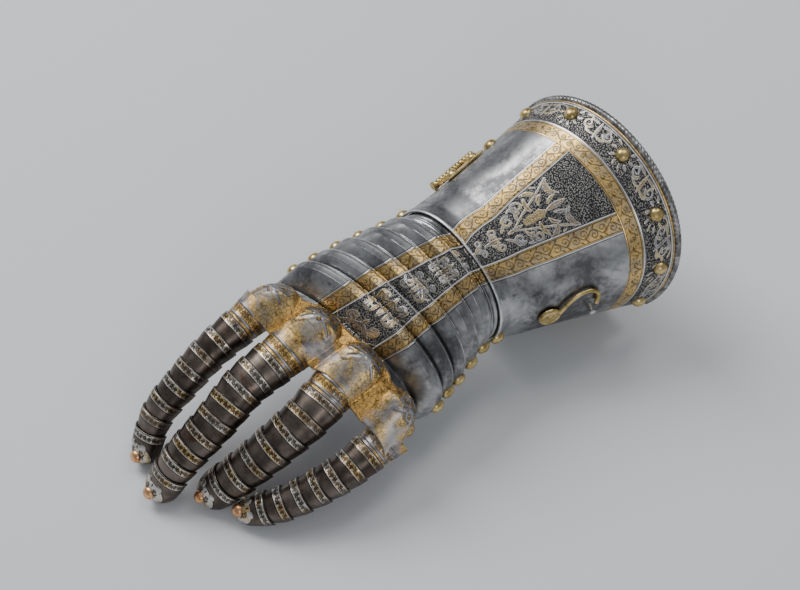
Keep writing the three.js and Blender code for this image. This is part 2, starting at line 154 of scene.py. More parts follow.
# rows of points through the stops; each stop gives one row for an angle list and a depth
def pathRows(stops, angles, drop, step):
    ends = [stop(angles, drop) for stop in stops]
    tops = [stop(angles, 0) for stop in stops]
    rows = []
    middle = len(angles) // 2
    for k in range(len(stops) - 1):
        length = np.linalg.norm(tops[k + 1][middle] - tops[k][middle])
        count = max(1, int(math.ceil(length / step)))
        for i in range(count):
            rows.append(ends[k] + (ends[k + 1] - ends[k]) * i / count)
    rows.append(ends[-1])
    return np.array(rows)


def archStop(index, ahead, off):
    return lambda angles, drop: archPoint(
        pivots[index], ahead(angles) if callable(ahead) else ahead, angles, off - drop)


# how far each point is along the rows' direction, and across from the zero column
def gridLengths(points, zeroColumn):
    along = np.zeros(points.shape[:2])
    along[1:] = np.cumsum(np.linalg.norm(np.diff(points, axis=0), axis=2), axis=0)
    across = np.zeros(points.shape[:2])
    across[:, 1:] = np.cumsum(np.linalg.norm(np.diff(points, axis=1), axis=2), axis=1)
    return along, across - across[:, [zeroColumn]]


def gridNormals(points, centre):
    normals = np.cross(np.gradient(points, axis=1), np.gradient(points, axis=0))
    normals /= np.maximum(np.linalg.norm(normals, axis=2, keepdims=True), 1e-9)
    facing = np.sign(((points - centre) * normals).sum(axis=2).mean())
    return normals * (facing or 1)


def easeStep(value, low, high):
    t = np.clip((value - low) / (high - low), 0, 1)
    return t * t * (3 - 2 * t)


def bump(value, middle, width):
    return np.exp(-((value - middle) / width) ** 2)


# meshes
def finishMesh(piece, bevelWidth=0.0, smoothAngle=38):
    bpy.ops.object.select_all(action="DESELECT")
    piece.select_set(True)
    bpy.context.view_layer.objects.active = piece
    if bevelWidth:
        soft = piece.modifiers.new("soft edges", "BEVEL")
        soft.width = bevelWidth * mm
        soft.segments = 2
        soft.limit_method = "ANGLE"
        soft.angle_limit = rad(50)
        bpy.ops.object.modifier_apply(modifier=soft.name)
    bpy.ops.object.shade_smooth_by_angle(angle=rad(smoothAngle))


# a sheet of metal or leather: a grid, extruded, with both faces laid on their points
def plateFromGrids(name, outer, inner, fields=None, surface=None, bevelWidth=0.25):
    rows, cols = outer.shape[:2]
    bpy.ops.object.select_all(action="DESELECT")
    bpy.ops.mesh.primitive_grid_add(x_subdivisions=cols - 1, y_subdivisions=rows - 1, size=1)
    piece = bpy.context.object
    piece.name = piece.data.name = name
    bpy.ops.object.mode_set(mode="EDIT")
    bpy.ops.mesh.select_all(action="SELECT")
    bpy.ops.mesh.extrude_region_move(TRANSFORM_OT_translate={"value": (0, 0, -1)})
    bpy.ops.object.mode_set(mode="OBJECT")
    mesh = piece.data
    flat = np.empty(len(mesh.vertices) * 3)
    mesh.vertices.foreach_get("co", flat)
    flat = flat.reshape(-1, 3)
    col = np.rint((flat[:, 0] + 0.5) * (cols - 1)).astype(int)
    row = np.rint((flat[:, 1] + 0.5) * (rows - 1)).astype(int)
    low = flat[:, 2] < -0.5
    places = np.where(low[:, None], inner[row, col], outer[row, col]) * mm
    mesh.vertices.foreach_set("co", places.ravel())
    if fields:
        for key, values in fields.items():
            layer = mesh.attributes.new(key, "FLOAT", "POINT")
            layer.data.foreach_set("value", np.where(low, 9.0, values[row, col]).astype(np.float32))
    if surface is not None:
        corners = np.empty(len(mesh.loops), int)
        mesh.loops.foreach_get("vertex_index", corners)
        along, across = surface
        laid = np.stack([across[row, col], along[row, col]], -1)[corners] * mm
        mesh.uv_layers[0].name = "surface"
        mesh.uv_layers[0].data.foreach_set("uv", laid.ravel())
    mesh.update()
    bpy.ops.object.mode_set(mode="EDIT")
    bpy.ops.mesh.select_all(action="SELECT")
    bpy.ops.mesh.normals_make_consistent(inside=False)
    bpy.ops.object.mode_set(mode="OBJECT")
    finishMesh(piece, bevelWidth)
    return piece


# a turned piece: the profile (radius, height) spun round and stood on its axis
def turned(name, profile, place, axis, steps=32, smoothAngle=38):
    mesh = bpy.data.meshes.new(name)
    mesh.from_pydata([(r * mm, 0, z * mm) for r, z in profile],
                     [(i, i + 1) for i in range(len(profile) - 1)], [])
    piece = bpy.data.objects.new(name, mesh)
    bpy.context.collection.objects.link(piece)
    bpy.ops.object.select_all(action="DESELECT")
    piece.select_set(True)
    bpy.context.view_layer.objects.active = piece
    bpy.ops.object.mode_set(mode="EDIT")
    bpy.ops.mesh.select_all(action="SELECT")
    bpy.ops.mesh.spin(steps=steps, angle=2 * math.pi, center=(0, 0, 0), axis=(0, 0, 1))
    bpy.ops.mesh.select_all(action="SELECT")
    bpy.ops.mesh.remove_doubles(threshold=0.00001)
    bpy.ops.mesh.normals_make_consistent(inside=False)
    bpy.ops.object.mode_set(mode="OBJECT")
    stand = Vector((0, 0, 1)).rotation_difference(Vector(axis)).to_matrix().to_4x4()
    mesh.transform(Matrix.Translation(Vector(place) * mm) @ stand)
    finishMesh(piece, 0, smoothAngle)
    return piece


# a closed bar along the centres, with its own radius at each; twist(i, turn) shapes the section
def rod(name, centres, radii, sides=14, squash=1.0, smoothAngle=50, twist=None):
    centres = np.asarray(centres, float)
    ahead = np.gradient(centres, axis=0)
    ahead /= np.linalg.norm(ahead, axis=1, keepdims=True)
    side = np.cross(ahead[0], [0, 0, 1.0])
    points = []
    turns = np.linspace(0, 2 * math.pi, sides, endpoint=False)
    for i, (centre, radius) in enumerate(zip(centres, np.broadcast_to(radii, len(centres)))):
        side = unit(side - ahead[i] * side.dot(ahead[i]))
        up = np.cross(side, ahead[i])
        grown = radius * (twist(i, turns) if twist else 1)
        points.append(centre + (np.cos(turns) * grown)[:, None] * side
                      + (np.sin(turns) * grown * squash)[:, None] * up)
    points = np.array(points)
    rows = len(points)
    corners = [tuple(p) for p in points.reshape(-1, 3) * mm]
    faces = [(r * sides + c, r * sides + (c + 1) % sides, (r + 1) * sides + (c + 1) % sides, (r + 1) * sides + c)
             for r in range(rows - 1) for c in range(sides)]
    faces += [tuple(range(sides)), tuple((rows - 1) * sides + c for c in range(sides))]
    mesh = bpy.data.meshes.new(name)
    mesh.from_pydata(corners, [], faces)
    piece = bpy.data.objects.new(name, mesh)
    bpy.context.collection.objects.link(piece)
    bpy.ops.object.select_all(action="DESELECT")
    piece.select_set(True)
    bpy.context.view_layer.objects.active = piece
    bpy.ops.object.mode_set(mode="EDIT")
    bpy.ops.mesh.select_all(action="SELECT")
    bpy.ops.mesh.normals_make_consistent(inside=False)
    bpy.ops.object.mode_set(mode="OBJECT")
    finishMesh(piece, 0, smoothAngle)
    return piece


def joined(name, pieces):
    bpy.ops.object.select_all(action="DESELECT")
    for piece in pieces:
        piece.select_set(True)
    bpy.context.view_layer.objects.active = pieces[0]
    if len(pieces) > 1:
        bpy.ops.object.join()
    whole = bpy.context.view_layer.objects.active
    whole.name = whole.data.name = name
    return whole


def place(piece, material, body, *nodes, slot):
    piece.data.materials.clear()
    piece.data.materials.append(material)
    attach(piece, body)
    if nodes:
        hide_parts(*nodes)


domeProfile = [(0, 1), (0.28, 0.965), (0.52, 0.86), (0.72, 0.68),
               (0.87, 0.44), (0.96, 0.18), (1, 0), (1, -0.12)]


def domeRivet(name, spot, normal, radius, height, root=0.5, steps=28):
    profile = [(radius * r, height * h if h >= 0 else h * height) for r, h in domeProfile]
    return turned(name, profile + [(radius, -root), (0, -root)], spot, normal, steps)


# ornament: strokes in millimetres on the flattened surface
# a smooth line through the points; widths are half widths, from end to end
def stroke(points, widths, step=0.2):
    points = np.asarray(points, float)
    ghost = np.vstack([2 * points[0] - points[1], points, 2 * points[-1] - points[-2]])
    line = []
    for i in range(1, len(ghost) - 2):
        a, b, c, d = ghost[i - 1], ghost[i], ghost[i + 1], ghost[i + 2]
        count = max(2, int(np.linalg.norm(c - b) / step))
        t = np.linspace(0, 1, count, endpoint=False)[:, None]
        line.append(0.5 * (2 * b + (c - a) * t + (2 * a - 5 * b + 4 * c - d) * t ** 2
                           + (3 * b - a - 3 * c + d) * t ** 3))
    line = np.vstack(line + [points[-1:]])
    place01 = np.linspace(0, 1, len(line))
    width = np.interp(place01, np.linspace(0, 1, len(widths)), widths)
    return np.column_stack([line, width])


# a spiral that winds inward; turns may be negative
def curl(x, y, radius, start, turns, widths=(0.5, 0.3), close=0.75):
    t = np.linspace(0, 1, max(10, int(abs(turns) * 26)))
    turn = math.radians(start) + turns * 2 * math.pi * t
    r = radius * (1 - close * t)
    points = np.column_stack([x + r * np.cos(turn), y + r * np.sin(turn)])
    return np.column_stack([points, np.interp(t, np.linspace(0, 1, len(widths)), widths)])


# a pointed leaf; heading in degrees, bend turns it on the way
def leaf(x, y, heading, length, width, bend=0.0):
    t = np.linspace(0, 1, max(6, int(length / 0.25)))
    turn = math.radians(heading) + math.radians(bend) * t
    step = length / (len(t) - 1)
    points = np.column_stack([x + np.cumsum(np.cos(turn)) * step, y + np.cumsum(np.sin(turn)) * step])
    return np.column_stack([points, width * np.sin(math.pi * (0.12 + 0.88 * t)) ** 0.8 + 0.06])


def mirrored(strokes, x=0.0):
    return strokes + [np.column_stack([2 * x - s[:, 0], s[:, 1], s[:, 2]]) for s in strokes]


def movedTo(strokes, dx, dy, scale=1.0, turn=0.0):
    c, s = math.cos(rad(turn)) * scale, math.sin(rad(turn)) * scale
    return [np.column_stack([dx + c * k[:, 0] - s * k[:, 1], dy + s * k[:, 0] + c * k[:, 1], k[:, 2] * scale])
            for k in strokes]


# signed distance to the strokes: below zero inside a stroke
def strokeField(x, y, strokes, reach=3.0):
    samples = np.vstack(strokes)
    tree = KDTree(len(samples))
    for i, (px, py, _) in enumerate(samples):
        tree.insert((px, py, 0), i)
    tree.balance()
    field = np.full(x.size, reach)
    flatX, flatY = x.ravel(), y.ravel()
    low, high = samples[:, :2].min(0) - reach, samples[:, :2].max(0) + reach
    near = np.nonzero((flatX > low[0]) & (flatX < high[0]) & (flatY > low[1]) & (flatY < high[1]))[0]
    for i in near:
        best = reach
        for _, index, away in tree.find_n((flatX[i], flatY[i], 0), 3):
            best = min(best, away - samples[index, 2])
        field[i] = best
    return field.reshape(x.shape)


# a running scroll for a narrow gilt strip: a waving stem with a curl in each bay
def runningVine(length, halfWidth, pitch, line=0.3):
    strokes = []
    bays = int(length / pitch) + 1
    stemY = np.linspace(0, bays * pitch, bays * 8 + 1)
    stemX = halfWidth * 0.42 * np.sin(math.pi * stemY / pitch)
    strokes.append(stroke(np.column_stack([stemX, stemY]), [line]))
    for bay in range(bays):
        side = 1 if bay % 2 == 0 else -1
        y = (bay + 0.5) * pitch
        strokes.append(curl(-side * halfWidth * 0.22, y, halfWidth * 0.5, 0 if side > 0 else 180,
                            side * 1.2, (line, line), 0.72))
        strokes.append(leaf(side * halfWidth * 0.5, y, 90 - side * 50, halfWidth * 0.5, line * 1.3))
        strokes.append(leaf(-side * halfWidth * 0.55, y + pitch * 0.42, 90 + side * 40,
                            halfWidth * 0.4, line * 1.2))
    return strokes


def softenedPath(points, passes=3):
    points = np.array(points, float)
    for _ in range(passes):
        points[1:-1] = (points[:-2] + 2 * points[1:-1] + points[2:]) / 4
    return points


# materials
class Graph:
    def __init__(self, name):
        self.material = bpy.data.materials.new(name)
        self.material.use_nodes = True
        self.tree = self.material.node_tree
        self.shader = self.tree.nodes["Principled BSDF"]
        self.coords = self.tree.nodes.new("ShaderNodeTexCoord").outputs["Object"]

    def node(self, kind, **settings):
        made = self.tree.nodes.new(kind)
        for key, value in settings.items():
            setattr(made, key, value)
        return made

    def feed(self, socket, value):
        if isinstance(value, bpy.types.NodeSocket):
            self.tree.links.new(value, socket)
        else:
            socket.default_value = value

    def sum(self, kind, a, b=0.0, c=0.0, clamp=False):
        made = self.node("ShaderNodeMath", operation=kind, use_clamp=clamp)
        for socket, value in zip(made.inputs, (a, b, c)):
            self.feed(socket, value)
        return made.outputs[0]

    def ramp(self, value, fromLow, fromHigh, low=0.0, high=1.0, smooth=True):
        made = self.node("ShaderNodeMapRange", interpolation_type="SMOOTHSTEP" if smooth else "LINEAR")
        for socket, number in zip(made.inputs, (value, fromLow, fromHigh, low, high)):
            self.feed(socket, number)
        return made.outputs[0]

    def mix(self, amount, a, b):
        made = self.node("ShaderNodeMix", data_type="RGBA")
        self.feed(made.inputs[0], amount)
        self.feed(made.inputs[6], (*a, 1) if isinstance(a, tuple) else a)
        self.feed(made.inputs[7], (*b, 1) if isinstance(b, tuple) else b)
        return made.outputs[2]

    def noise(self, scale, detail=3.0, rough=0.55, coords=None, distort=0.0):
        made = self.node("ShaderNodeTexNoise")
        self.feed(made.inputs["Vector"], coords or self.coords)
        made.inputs["Scale"].default_value = scale
        made.inputs["Detail"].default_value = detail
        made.inputs["Roughness"].default_value = rough
        made.inputs["Distortion"].default_value = distort
        return made.outputs["Fac"]

    def cells(self, scale, coords=None, feature="F1", output="Distance", dimensions="3D"):
        made = self.node("ShaderNodeTexVoronoi", feature=feature, voronoi_dimensions=dimensions)
        self.feed(made.inputs["Vector"], coords or self.coords)
        made.inputs["Scale"].default_value = scale
        return made.outputs[output]

    def field(self, name):
        return self.node("ShaderNodeAttribute", attribute_name=name).outputs["Fac"]

    def laid(self):
        return self.node("ShaderNodeUVMap", uv_map="surface").outputs["UV"]

    # 1 where value is within width of middle
    def near(self, value, middle, width):
        away = self.sum("ABSOLUTE", self.sum("SUBTRACT", value, middle))
        return self.ramp(away, width * 0.6, width * 1.2, 1.0, 0.0)

    def relief(self, height, distance, strength=1.0):
        made = self.node("ShaderNodeBump")
        made.inputs["Distance"].default_value = distance
        made.inputs["Strength"].default_value = strength
        self.feed(made.inputs["Height"], height)
        self.tree.links.new(made.outputs[0], self.shader.inputs["Normal"])

    def finish(self, colour, roughness, metallic):
        self.feed(self.shader.inputs["Base Color"], (*colour, 1) if isinstance(colour, tuple) else colour)
        self.feed(self.shader.inputs["Roughness"], roughness)
        self.feed(self.shader.inputs["Metallic"], metallic)
        return self.material


steelLook = {
    "dark": (0.13, 0.13, 0.135), "light": (0.46, 0.46, 0.465), "bright": (0.78, 0.78, 0.78),
    "stain": (0.05, 0.045, 0.042), "gold": (0.78, 0.53, 0.2), "worn": (0.46, 0.36, 0.22),
    "goldDeep": (0.10, 0.062, 0.02), "ground": (0.012, 0.013, 0.017), "dot": (0.42, 0.4, 0.36),
    "leafGold": (0.56, 0.44, 0.25), "leafSteel": (0.36, 0.34, 0.33),
    "dots": 1050, "rough": 0.3,
}


# mottled, rubbed steel: broad clouds, fine grain and small dark stains
def steelBase(g, look):
    clouds = g.noise(26, 4, 0.6, distort=0.6)
    grain = g.noise(320, 3, 0.6)
    tone = g.sum("ADD", g.ramp(clouds, 0.36, 0.66), g.ramp(grain, 0.3, 0.75, -0.22, 0.22), clamp=True)
    base = g.mix(tone, look["dark"], look["light"])
    stains = g.sum("MULTIPLY", g.ramp(g.noise(95, 5, 0.7), 0.56, 0.7), g.ramp(g.noise(22, 2), 0.42, 0.62))
    return g.mix(g.sum("MULTIPLY", stains, 0.75), base, look["stain"]), tone, grain


def plainSteel(name, look):
    g = Graph(name)
    colour, tone, grain = steelBase(g, look)
    # partly real rubbing and partly a painted highlight: the plate's edge painted bright
    edge = g.ramp(g.field("edge"), 0.3, 1.3, 1.0, 0.0)
    rubbedAndHighlit = g.sum("MULTIPLY", edge, g.ramp(g.noise(140, 3), 0.3, 0.6, 0.35, 1.0))
    colour = g.mix(rubbedAndHighlit, colour, look["bright"])
    g.relief(g.sum("ADD", g.noise(900, 4), g.sum("MULTIPLY", tone, 0.5)), 0.00006, 0.5)
    roughness = g.ramp(g.sum("ADD", tone, grain), 0.4, 1.4, look["rough"] + 0.12, look["rough"])
    return g.finish(colour, roughness, 1.0)


def etchedSteel(name, look):
    g = Graph(name)
    colour, tone, grain = steelBase(g, look)
    gilt, ground, motif, edge = (g.field(key) for key in ("gilt", "ground", "motif", "edge"))
    inGilt = g.ramp(gilt, -0.1, 0.1, 1.0, 0.0)
    inGround = g.ramp(ground, -0.1, 0.1, 1.0, 0.0)
    inMotif = g.ramp(motif, -0.12, 0.12, 1.0, 0.0)
    # the dark ground with its close dots
    dots = g.ramp(g.cells(look["dots"], g.laid(), dimensions="2D"), 0.2, 0.42, 1.0, 0.0)
    dotWear = g.sum("MULTIPLY", dots, g.ramp(g.noise(160, 2), 0.3, 0.6, 0.4, 1.0))
    dotted = g.mix(dotWear, look["ground"], look["dot"])
    # leaves and ribbons, drawn with lines that follow their outline
    uneven = g.sum("ADD", motif, g.sum("MULTIPLY", g.noise(210, 2), 0.5))
    lines = g.sum("SINE", g.sum("MULTIPLY", uneven, 7.5))
    shade = g.sum("MULTIPLY", g.ramp(lines, 0.25, 0.85), g.ramp(motif, -0.45, -0.25, 1.0, 0.0))
    rubbedGold = g.ramp(g.noise(75, 3, 0.6), 0.4, 0.6)
    leafColour = g.mix(rubbedGold, look["leafSteel"], look["leafGold"])
    leafColour = g.mix(g.sum("MULTIPLY", shade, 0.72), leafColour, look["goldDeep"])
    leafColour = g.mix(g.sum("MULTIPLY", g.near(motif, -0.13, 0.14), 0.65), leafColour, look["bright"])
    leafColour = g.mix(g.near(motif, 0.08, 0.1), leafColour, look["ground"])
    etched = g.mix(inMotif, dotted, leafColour)
    colour = g.mix(inGround, colour, etched)
    # the gilt bands with their engraved scrolls
    goldTone = g.ramp(g.noise(120, 4, 0.65), 0.36, 0.64)
    gold = g.mix(goldTone, look["worn"], look["gold"])
    gold = g.mix(g.sum("MULTIPLY", g.ramp(g.noise(420, 3), 0.5, 0.72), 0.55), gold, look["goldDeep"])
    gold = g.mix(g.sum("MULTIPLY", inMotif, 0.78), gold, look["goldDeep"])
    gold = g.mix(g.near(gilt, -0.75, 0.2), gold, look["goldDeep"])
    colour = g.mix(inGilt, colour, gold)
    # bright and dark lines beside each band
    colour = g.mix(g.sum("MULTIPLY", g.near(gilt, 0.45, 0.38), 0.9), colour, look["bright"])
    colour = g.mix(g.sum("MULTIPLY", g.near(gilt, 1.1, 0.25), 0.8), colour, look["stain"])
    colour = g.mix(g.sum("MULTIPLY", g.near(gilt, 0.02, 0.16), 0.8), colour, look["stain"])
    # partly real rubbing and partly a painted highlight: the bevelled edge painted bright
    rubbedAndHighlit = g.sum("MULTIPLY", g.ramp(edge, 0.3, 1.4, 1.0, 0.0), g.ramp(g.noise(140, 3), 0.3, 0.6, 0.3, 0.95))
    colour = g.mix(rubbedAndHighlit, colour, look["bright"])
    raised = g.sum("MAXIMUM", inMotif, g.sum("MULTIPLY", dots, 0.7))
    flatGround = g.sum("MULTIPLY", inGround, g.sum("SUBTRACT", 1.0, raised))
    roughness = g.ramp(g.sum("ADD", tone, grain), 0.4, 1.4, look["rough"] + 0.12, look["rough"])
    roughness = g.sum("ADD", roughness, g.sum("MULTIPLY", flatGround, 0.3))
    height = g.sum("ADD", g.sum("MULTIPLY", g.noise(900, 4), 0.3), g.sum("MULTIPLY", dots, inGround))
    height = g.sum("SUBTRACT", height, g.sum("MULTIPLY", inGilt, g.sum("MULTIPLY", inMotif, 0.9)))
    height = g.sum("ADD", height, g.sum("MULTIPLY", g.sum("MULTIPLY", inMotif, inGround), 1.6))
    g.relief(height, 0.00009, 0.8)
    return g.finish(colour, roughness, g.sum("SUBTRACT", 1.0, g.sum("MULTIPLY", flatGround, 0.75)))


domeLook = dict(steelLook, blue=(0.19, 0.2, 0.235), hot=(0.74, 0.42, 0.11), rough=0.34)


# the knuckles: rich gilding, blued outlines to the leaves, bare steel where hands wore it, and a painted highlight
# on each dome's top
def embossedGilt(name, look):
    g = Graph(name)
    gilt, motif, edge, high = (g.field(key) for key in ("gilt", "motif", "edge", "high"))
    goldTone = g.ramp(g.noise(110, 4, 0.65), 0.38, 0.62)
    gold = g.mix(goldTone, look["worn"], look["gold"])
    gold = g.mix(g.ramp(high, 0.45, 0.05, 0.0, 0.8), gold, look["hot"])
    gold = g.mix(g.sum("MULTIPLY", g.ramp(g.noise(360, 3), 0.5, 0.7), 0.7), gold, look["goldDeep"])
    chased = g.ramp(g.cells(430, feature="DISTANCE_TO_EDGE"), 0.02, 0.07, 0.75, 0.0)
    gold = g.mix(chased, gold, look["goldDeep"])
    blueing = g.sum("MAXIMUM", g.ramp(motif, 0.05, 0.3, 1.0, 0.0),
                    g.sum("MULTIPLY", g.ramp(g.noise(60, 3), 0.52, 0.64), 0.75))
    bare = g.mix(g.ramp(g.noise(200, 3), 0.35, 0.65), look["blue"], (0.42, 0.42, 0.45))
    colour = g.mix(blueing, gold, bare)
    colour = g.mix(g.near(motif, 0.34, 0.14), colour, look["goldDeep"])
    fine = g.ramp(g.field("fine"), -0.05, 0.12, 1.0, 0.0)
    colour = g.mix(g.sum("MULTIPLY", fine, 0.8), colour, look["goldDeep"])
    # painted highlight: the top of each dome painted pale grey-white
    crown = g.sum("MULTIPLY", g.ramp(high, 0.82, 1.0), g.ramp(g.noise(90, 3), 0.4, 0.6))
    colour = g.mix(g.sum("MULTIPLY", crown, 0.8), colour, (0.6, 0.58, 0.56))
    plain = g.ramp(gilt, -0.5, 1.5)
    steel, tone, grain = steelBase(g, look)
    colour = g.mix(plain, colour, steel)
    # partly real rubbing and partly a painted highlight: the bevelled edge painted bright
    rubbedAndHighlit = g.sum("MULTIPLY", g.ramp(edge, 0.2, 0.9, 1.0, 0.0), g.ramp(g.noise(140, 3), 0.3, 0.6, 0.2, 0.8))
    colour = g.mix(rubbedAndHighlit, colour, look["bright"])
    height = g.sum("SUBTRACT", g.sum("MULTIPLY", g.noise(700, 4), 0.4), g.sum("MULTIPLY", fine, 0.9))
    g.relief(height, 0.0001, 0.8)
    return g.finish(colour, g.ramp(g.noise(150, 3), 0.3, 0.7, look["rough"], look["rough"] + 0.16), 1.0)


fingerLook = {
    "dark": (0.065, 0.052, 0.044), "light": (0.2, 0.165, 0.14), "silver": (0.6, 0.57, 0.52),
    "gold": (0.66, 0.46, 0.2), "engraved": (0.03, 0.022, 0.016), "rust": (0.09, 0.035, 0.018), "rough": 0.3,
}


def russetSteel(name, look):
    g = Graph(name)
    band, motif, crown, edge = (g.field(key) for key in ("gilt", "motif", "crown", "edge"))
    clouds = g.noise(60, 4, 0.6)
    base = g.mix(g.ramp(clouds, 0.35, 0.7), look["dark"], look["light"])
    base = g.mix(g.sum("MULTIPLY", g.ramp(g.noise(130, 4, 0.7), 0.55, 0.7), 0.7), base, look["rust"])
    inBand = g.ramp(band, -0.12, 0.12, 1.0, 0.0)
    # painted light: the band's metal fades out as the scale turns away from the top, so the top reads lit and the
    # sides shaded; the noise adds real wear
    litTopAndWear = g.sum("MULTIPLY", g.ramp(crown, 50, 85, 1.0, 0.12), g.ramp(g.noise(85, 3), 0.32, 0.55, 0.35, 1.0))
    metal = g.mix(g.ramp(g.noise(70, 3), 0.42, 0.6), look["silver"], look["gold"])
    metal = g.mix(g.ramp(motif, -0.05, 0.16, 0.9, 0.0), metal, look["engraved"])
    metal = g.mix(g.ramp(g.noise(500, 3), 0.52, 0.7, 0.0, 0.7), metal, look["engraved"])
    colour = g.mix(g.sum("MULTIPLY", inBand, litTopAndWear), base, metal)
    line = g.sum("MAXIMUM", g.near(band, 0.02, 0.22), g.sum("MULTIPLY", g.ramp(edge, 0.2, 0.6, 1.0, 0.0), 0.8))
    colour = g.mix(g.sum("MULTIPLY", line, litTopAndWear), colour, look["silver"])
    colour = g.mix(g.near(band, 0.5, 0.2), colour, look["engraved"])
    height = g.sum("SUBTRACT", g.sum("MULTIPLY", g.noise(800, 4), 0.4),
                   g.sum("MULTIPLY", inBand, g.ramp(motif, -0.05, 0.16, 1.0, 0.0)))
    g.relief(height, 0.00008, 0.8)
    return g.finish(colour, g.ramp(g.noise(160, 3), 0.3, 0.7, look["rough"], look["rough"] + 0.14), 1.0)


# brass, copper and bright steel fittings, darker where dirt stays
def rubbedMetal(name, low, high, deep, roughness):
    g = Graph(name)
    colour = g.mix(g.ramp(g.noise(220, 4, 0.6), 0.35, 0.65), low, high)
    colour = g.mix(g.sum("MULTIPLY", g.ramp(g.noise(600, 4, 0.7), 0.52, 0.72), 0.7), colour, deep)
    g.relief(g.noise(1100, 3), 0.00004, 0.6)
    return g.finish(colour, g.ramp(g.noise(300, 3), 0.3, 0.7, roughness, roughness + 0.15), 1.0)


def strapLeather(name):
    g = Graph(name)
    grain = g.cells(1400)
    colour = g.mix(g.ramp(g.noise(120, 4), 0.35, 0.68), (0.09, 0.026, 0.012), (0.24, 0.075, 0.032))
    colour = g.mix(g.ramp(grain, 0.1, 0.5, 0.5, 0.0), colour, (0.04, 0.013, 0.008))
    g.relief(g.sum("ADD", grain, g.noise(700, 4)), 0.0002, 0.7)
    return g.finish(colour, g.ramp(g.noise(260, 3), 0.3, 0.7, 0.6, 0.85), 0.0)


bluedSteel = etchedSteel("etched steel", steelLook)
bareSteel = plainSteel("rubbed steel", steelLook)
knuckleGilt = embossedGilt("embossed gilding", domeLook)
russet = russetSteel("russet scales", fingerLook)
brass = rubbedMetal("old brass", (0.44, 0.32, 0.12), (0.72, 0.56, 0.26), (0.09, 0.06, 0.02), 0.26)
copper = rubbedMetal("copper gilt", (0.55, 0.27, 0.12), (0.85, 0.5, 0.27), (0.14, 0.06, 0.03), 0.26)
silverSteel = rubbedMetal("bright steel", (0.42, 0.41, 0.4), (0.62, 0.61, 0.59), (0.12, 0.11, 0.1), 0.3)
bareRope = rubbedMetal("filed steel", (0.16, 0.155, 0.15), (0.42, 0.41, 0.4), (0.03, 0.027, 0.025), 0.3)
redLeather = strapLeather("strap leather")
print("materials made")


# the fingers
fingers = {
    "index": {"scales": 7, "wide": (10.5, 9), "deep": (14, 10),
              "ridge": [(-32, -80, 64), (-32, -104, 57), (-31, -124, 47), (-31, -144, 30), (-25, -161, 5)]},
    "middle": {"scales": 8, "wide": (13, 10.5), "deep": (15, 11),
               "ridge": [(-3, -79, 66), (-3, -104, 60), (-1, -127, 48), (-2, -150, 31), (-4, -169, 6)]},
    "ring": {"scales": 6, "wide": (13.5, 11), "deep": (15, 11),
             "ridge": [(27, -72, 60), (29, -91, 54), (27, -111, 43), (22, -133, 27), (13.5, -150, 7)]},
    "little": {"scales": 6, "wide": (11, 9), "deep": (13, 10),
               "ridge": [(59, -66, 41), (58, -88, 35), (52, -108, 26), (43.3, -126, 18), (31, -139, 8.5)]},
}
fingerSteel = {"scale": 0.8, "play": 0.35, "leather": 1, "crown": 0.85, "neck": 4, "tip": 21, "tuck": 3,
               "strapPlay": 0.8, "band": 4.4, "fine": 0.55, "coarse": 1.1}
underScale = fingerSteel["scale"] + fingerSteel["play"]


# a smooth line through the ridge points, with its length and directions
def ridgeLine(points):
    points = np.asarray(points, float) + shift
    ghost = np.vstack([2 * points[0] - points[1], points, 2 * points[-1] - points[-2]])
    line = []
    for i in range(1, len(ghost) - 2):
        a, b, c, d = ghost[i - 1:i + 3]
        first, second, third = (np.linalg.norm(q - p) ** 0.5 for p, q in ((a, b), (b, c), (c, d)))
        startSlope = ((b - a) / first - (c - a) / (first + second) + (c - b) / second) * second
        endSlope = ((c - b) / second - (d - b) / (second + third) + (d - c) / third) * second
        t = np.linspace(0, 1, 400, endpoint=False)[:, None]
        line.append((2 * t ** 3 - 3 * t ** 2 + 1) * b + (t ** 3 - 2 * t ** 2 + t) * startSlope
                    + (3 * t ** 2 - 2 * t ** 3) * c + (t ** 3 - t ** 2) * endSlope)
    line = np.vstack(line + [points[-1:]])
    far = np.concatenate([[0], np.cumsum(np.linalg.norm(np.diff(line, axis=0), axis=1))])
    heading = np.gradient(line, axis=0)
    return {"line": line, "far": far, "heading": heading / np.linalg.norm(heading, axis=1, keepdims=True),
            "length": far[-1]}


for run in fingers.values():
    run.update(ridgeLine(run["ridge"]))


def fingerPoint(run, along, turn, inset, close=1.0):
    given = (np.asarray(value, float) for value in (along, turn, inset, close))
    along, turn, inset, close = np.broadcast_arrays(*given)
    shape, flat = along.shape, along.ravel()
    t = np.clip(flat / run["length"], 0, 1)

    def pick(table):
        return np.stack([np.interp(t * run["length"], run["far"], table[:, k]) for k in range(3)], -1)

    base, forward = pick(run["line"]), pick(run["heading"])
    forward /= np.linalg.norm(forward, axis=1, keepdims=True)
    across = np.array([1.0, 0, 0]) - forward * forward[:, :1]
    across /= np.linalg.norm(across, axis=1, keepdims=True)
    up = np.cross(forward, across)
    half = run["wide"][0] + (run["wide"][1] - run["wide"][0]) * t
    crown = half * fingerSteel["crown"]
    wall = run["deep"][0] + (run["deep"][1] - run["deep"][0]) * t - crown
    width = np.maximum(half * close.ravel() - inset.ravel(), 0.15)
    turns = turn.ravel()
    past = np.abs(turns) - 90
    level = np.where(past > 0, -wall * close.ravel() * past / 30,
                     width * fingerSteel["crown"] * np.cos(np.radians(turns)))
    side = width * np.sin(np.radians(np.clip(turns, -90, 90)))
    whole = (base + forward * (flat - t * run["length"])[:, None] + across * side[:, None]
             + up * (level - crown)[:, None])
    return whole.reshape(shape + (3,))


def scaleStarts(run):
    return np.linspace(fingerSteel["neck"], run["length"] - fingerSteel["tip"], run["scales"] + 1)


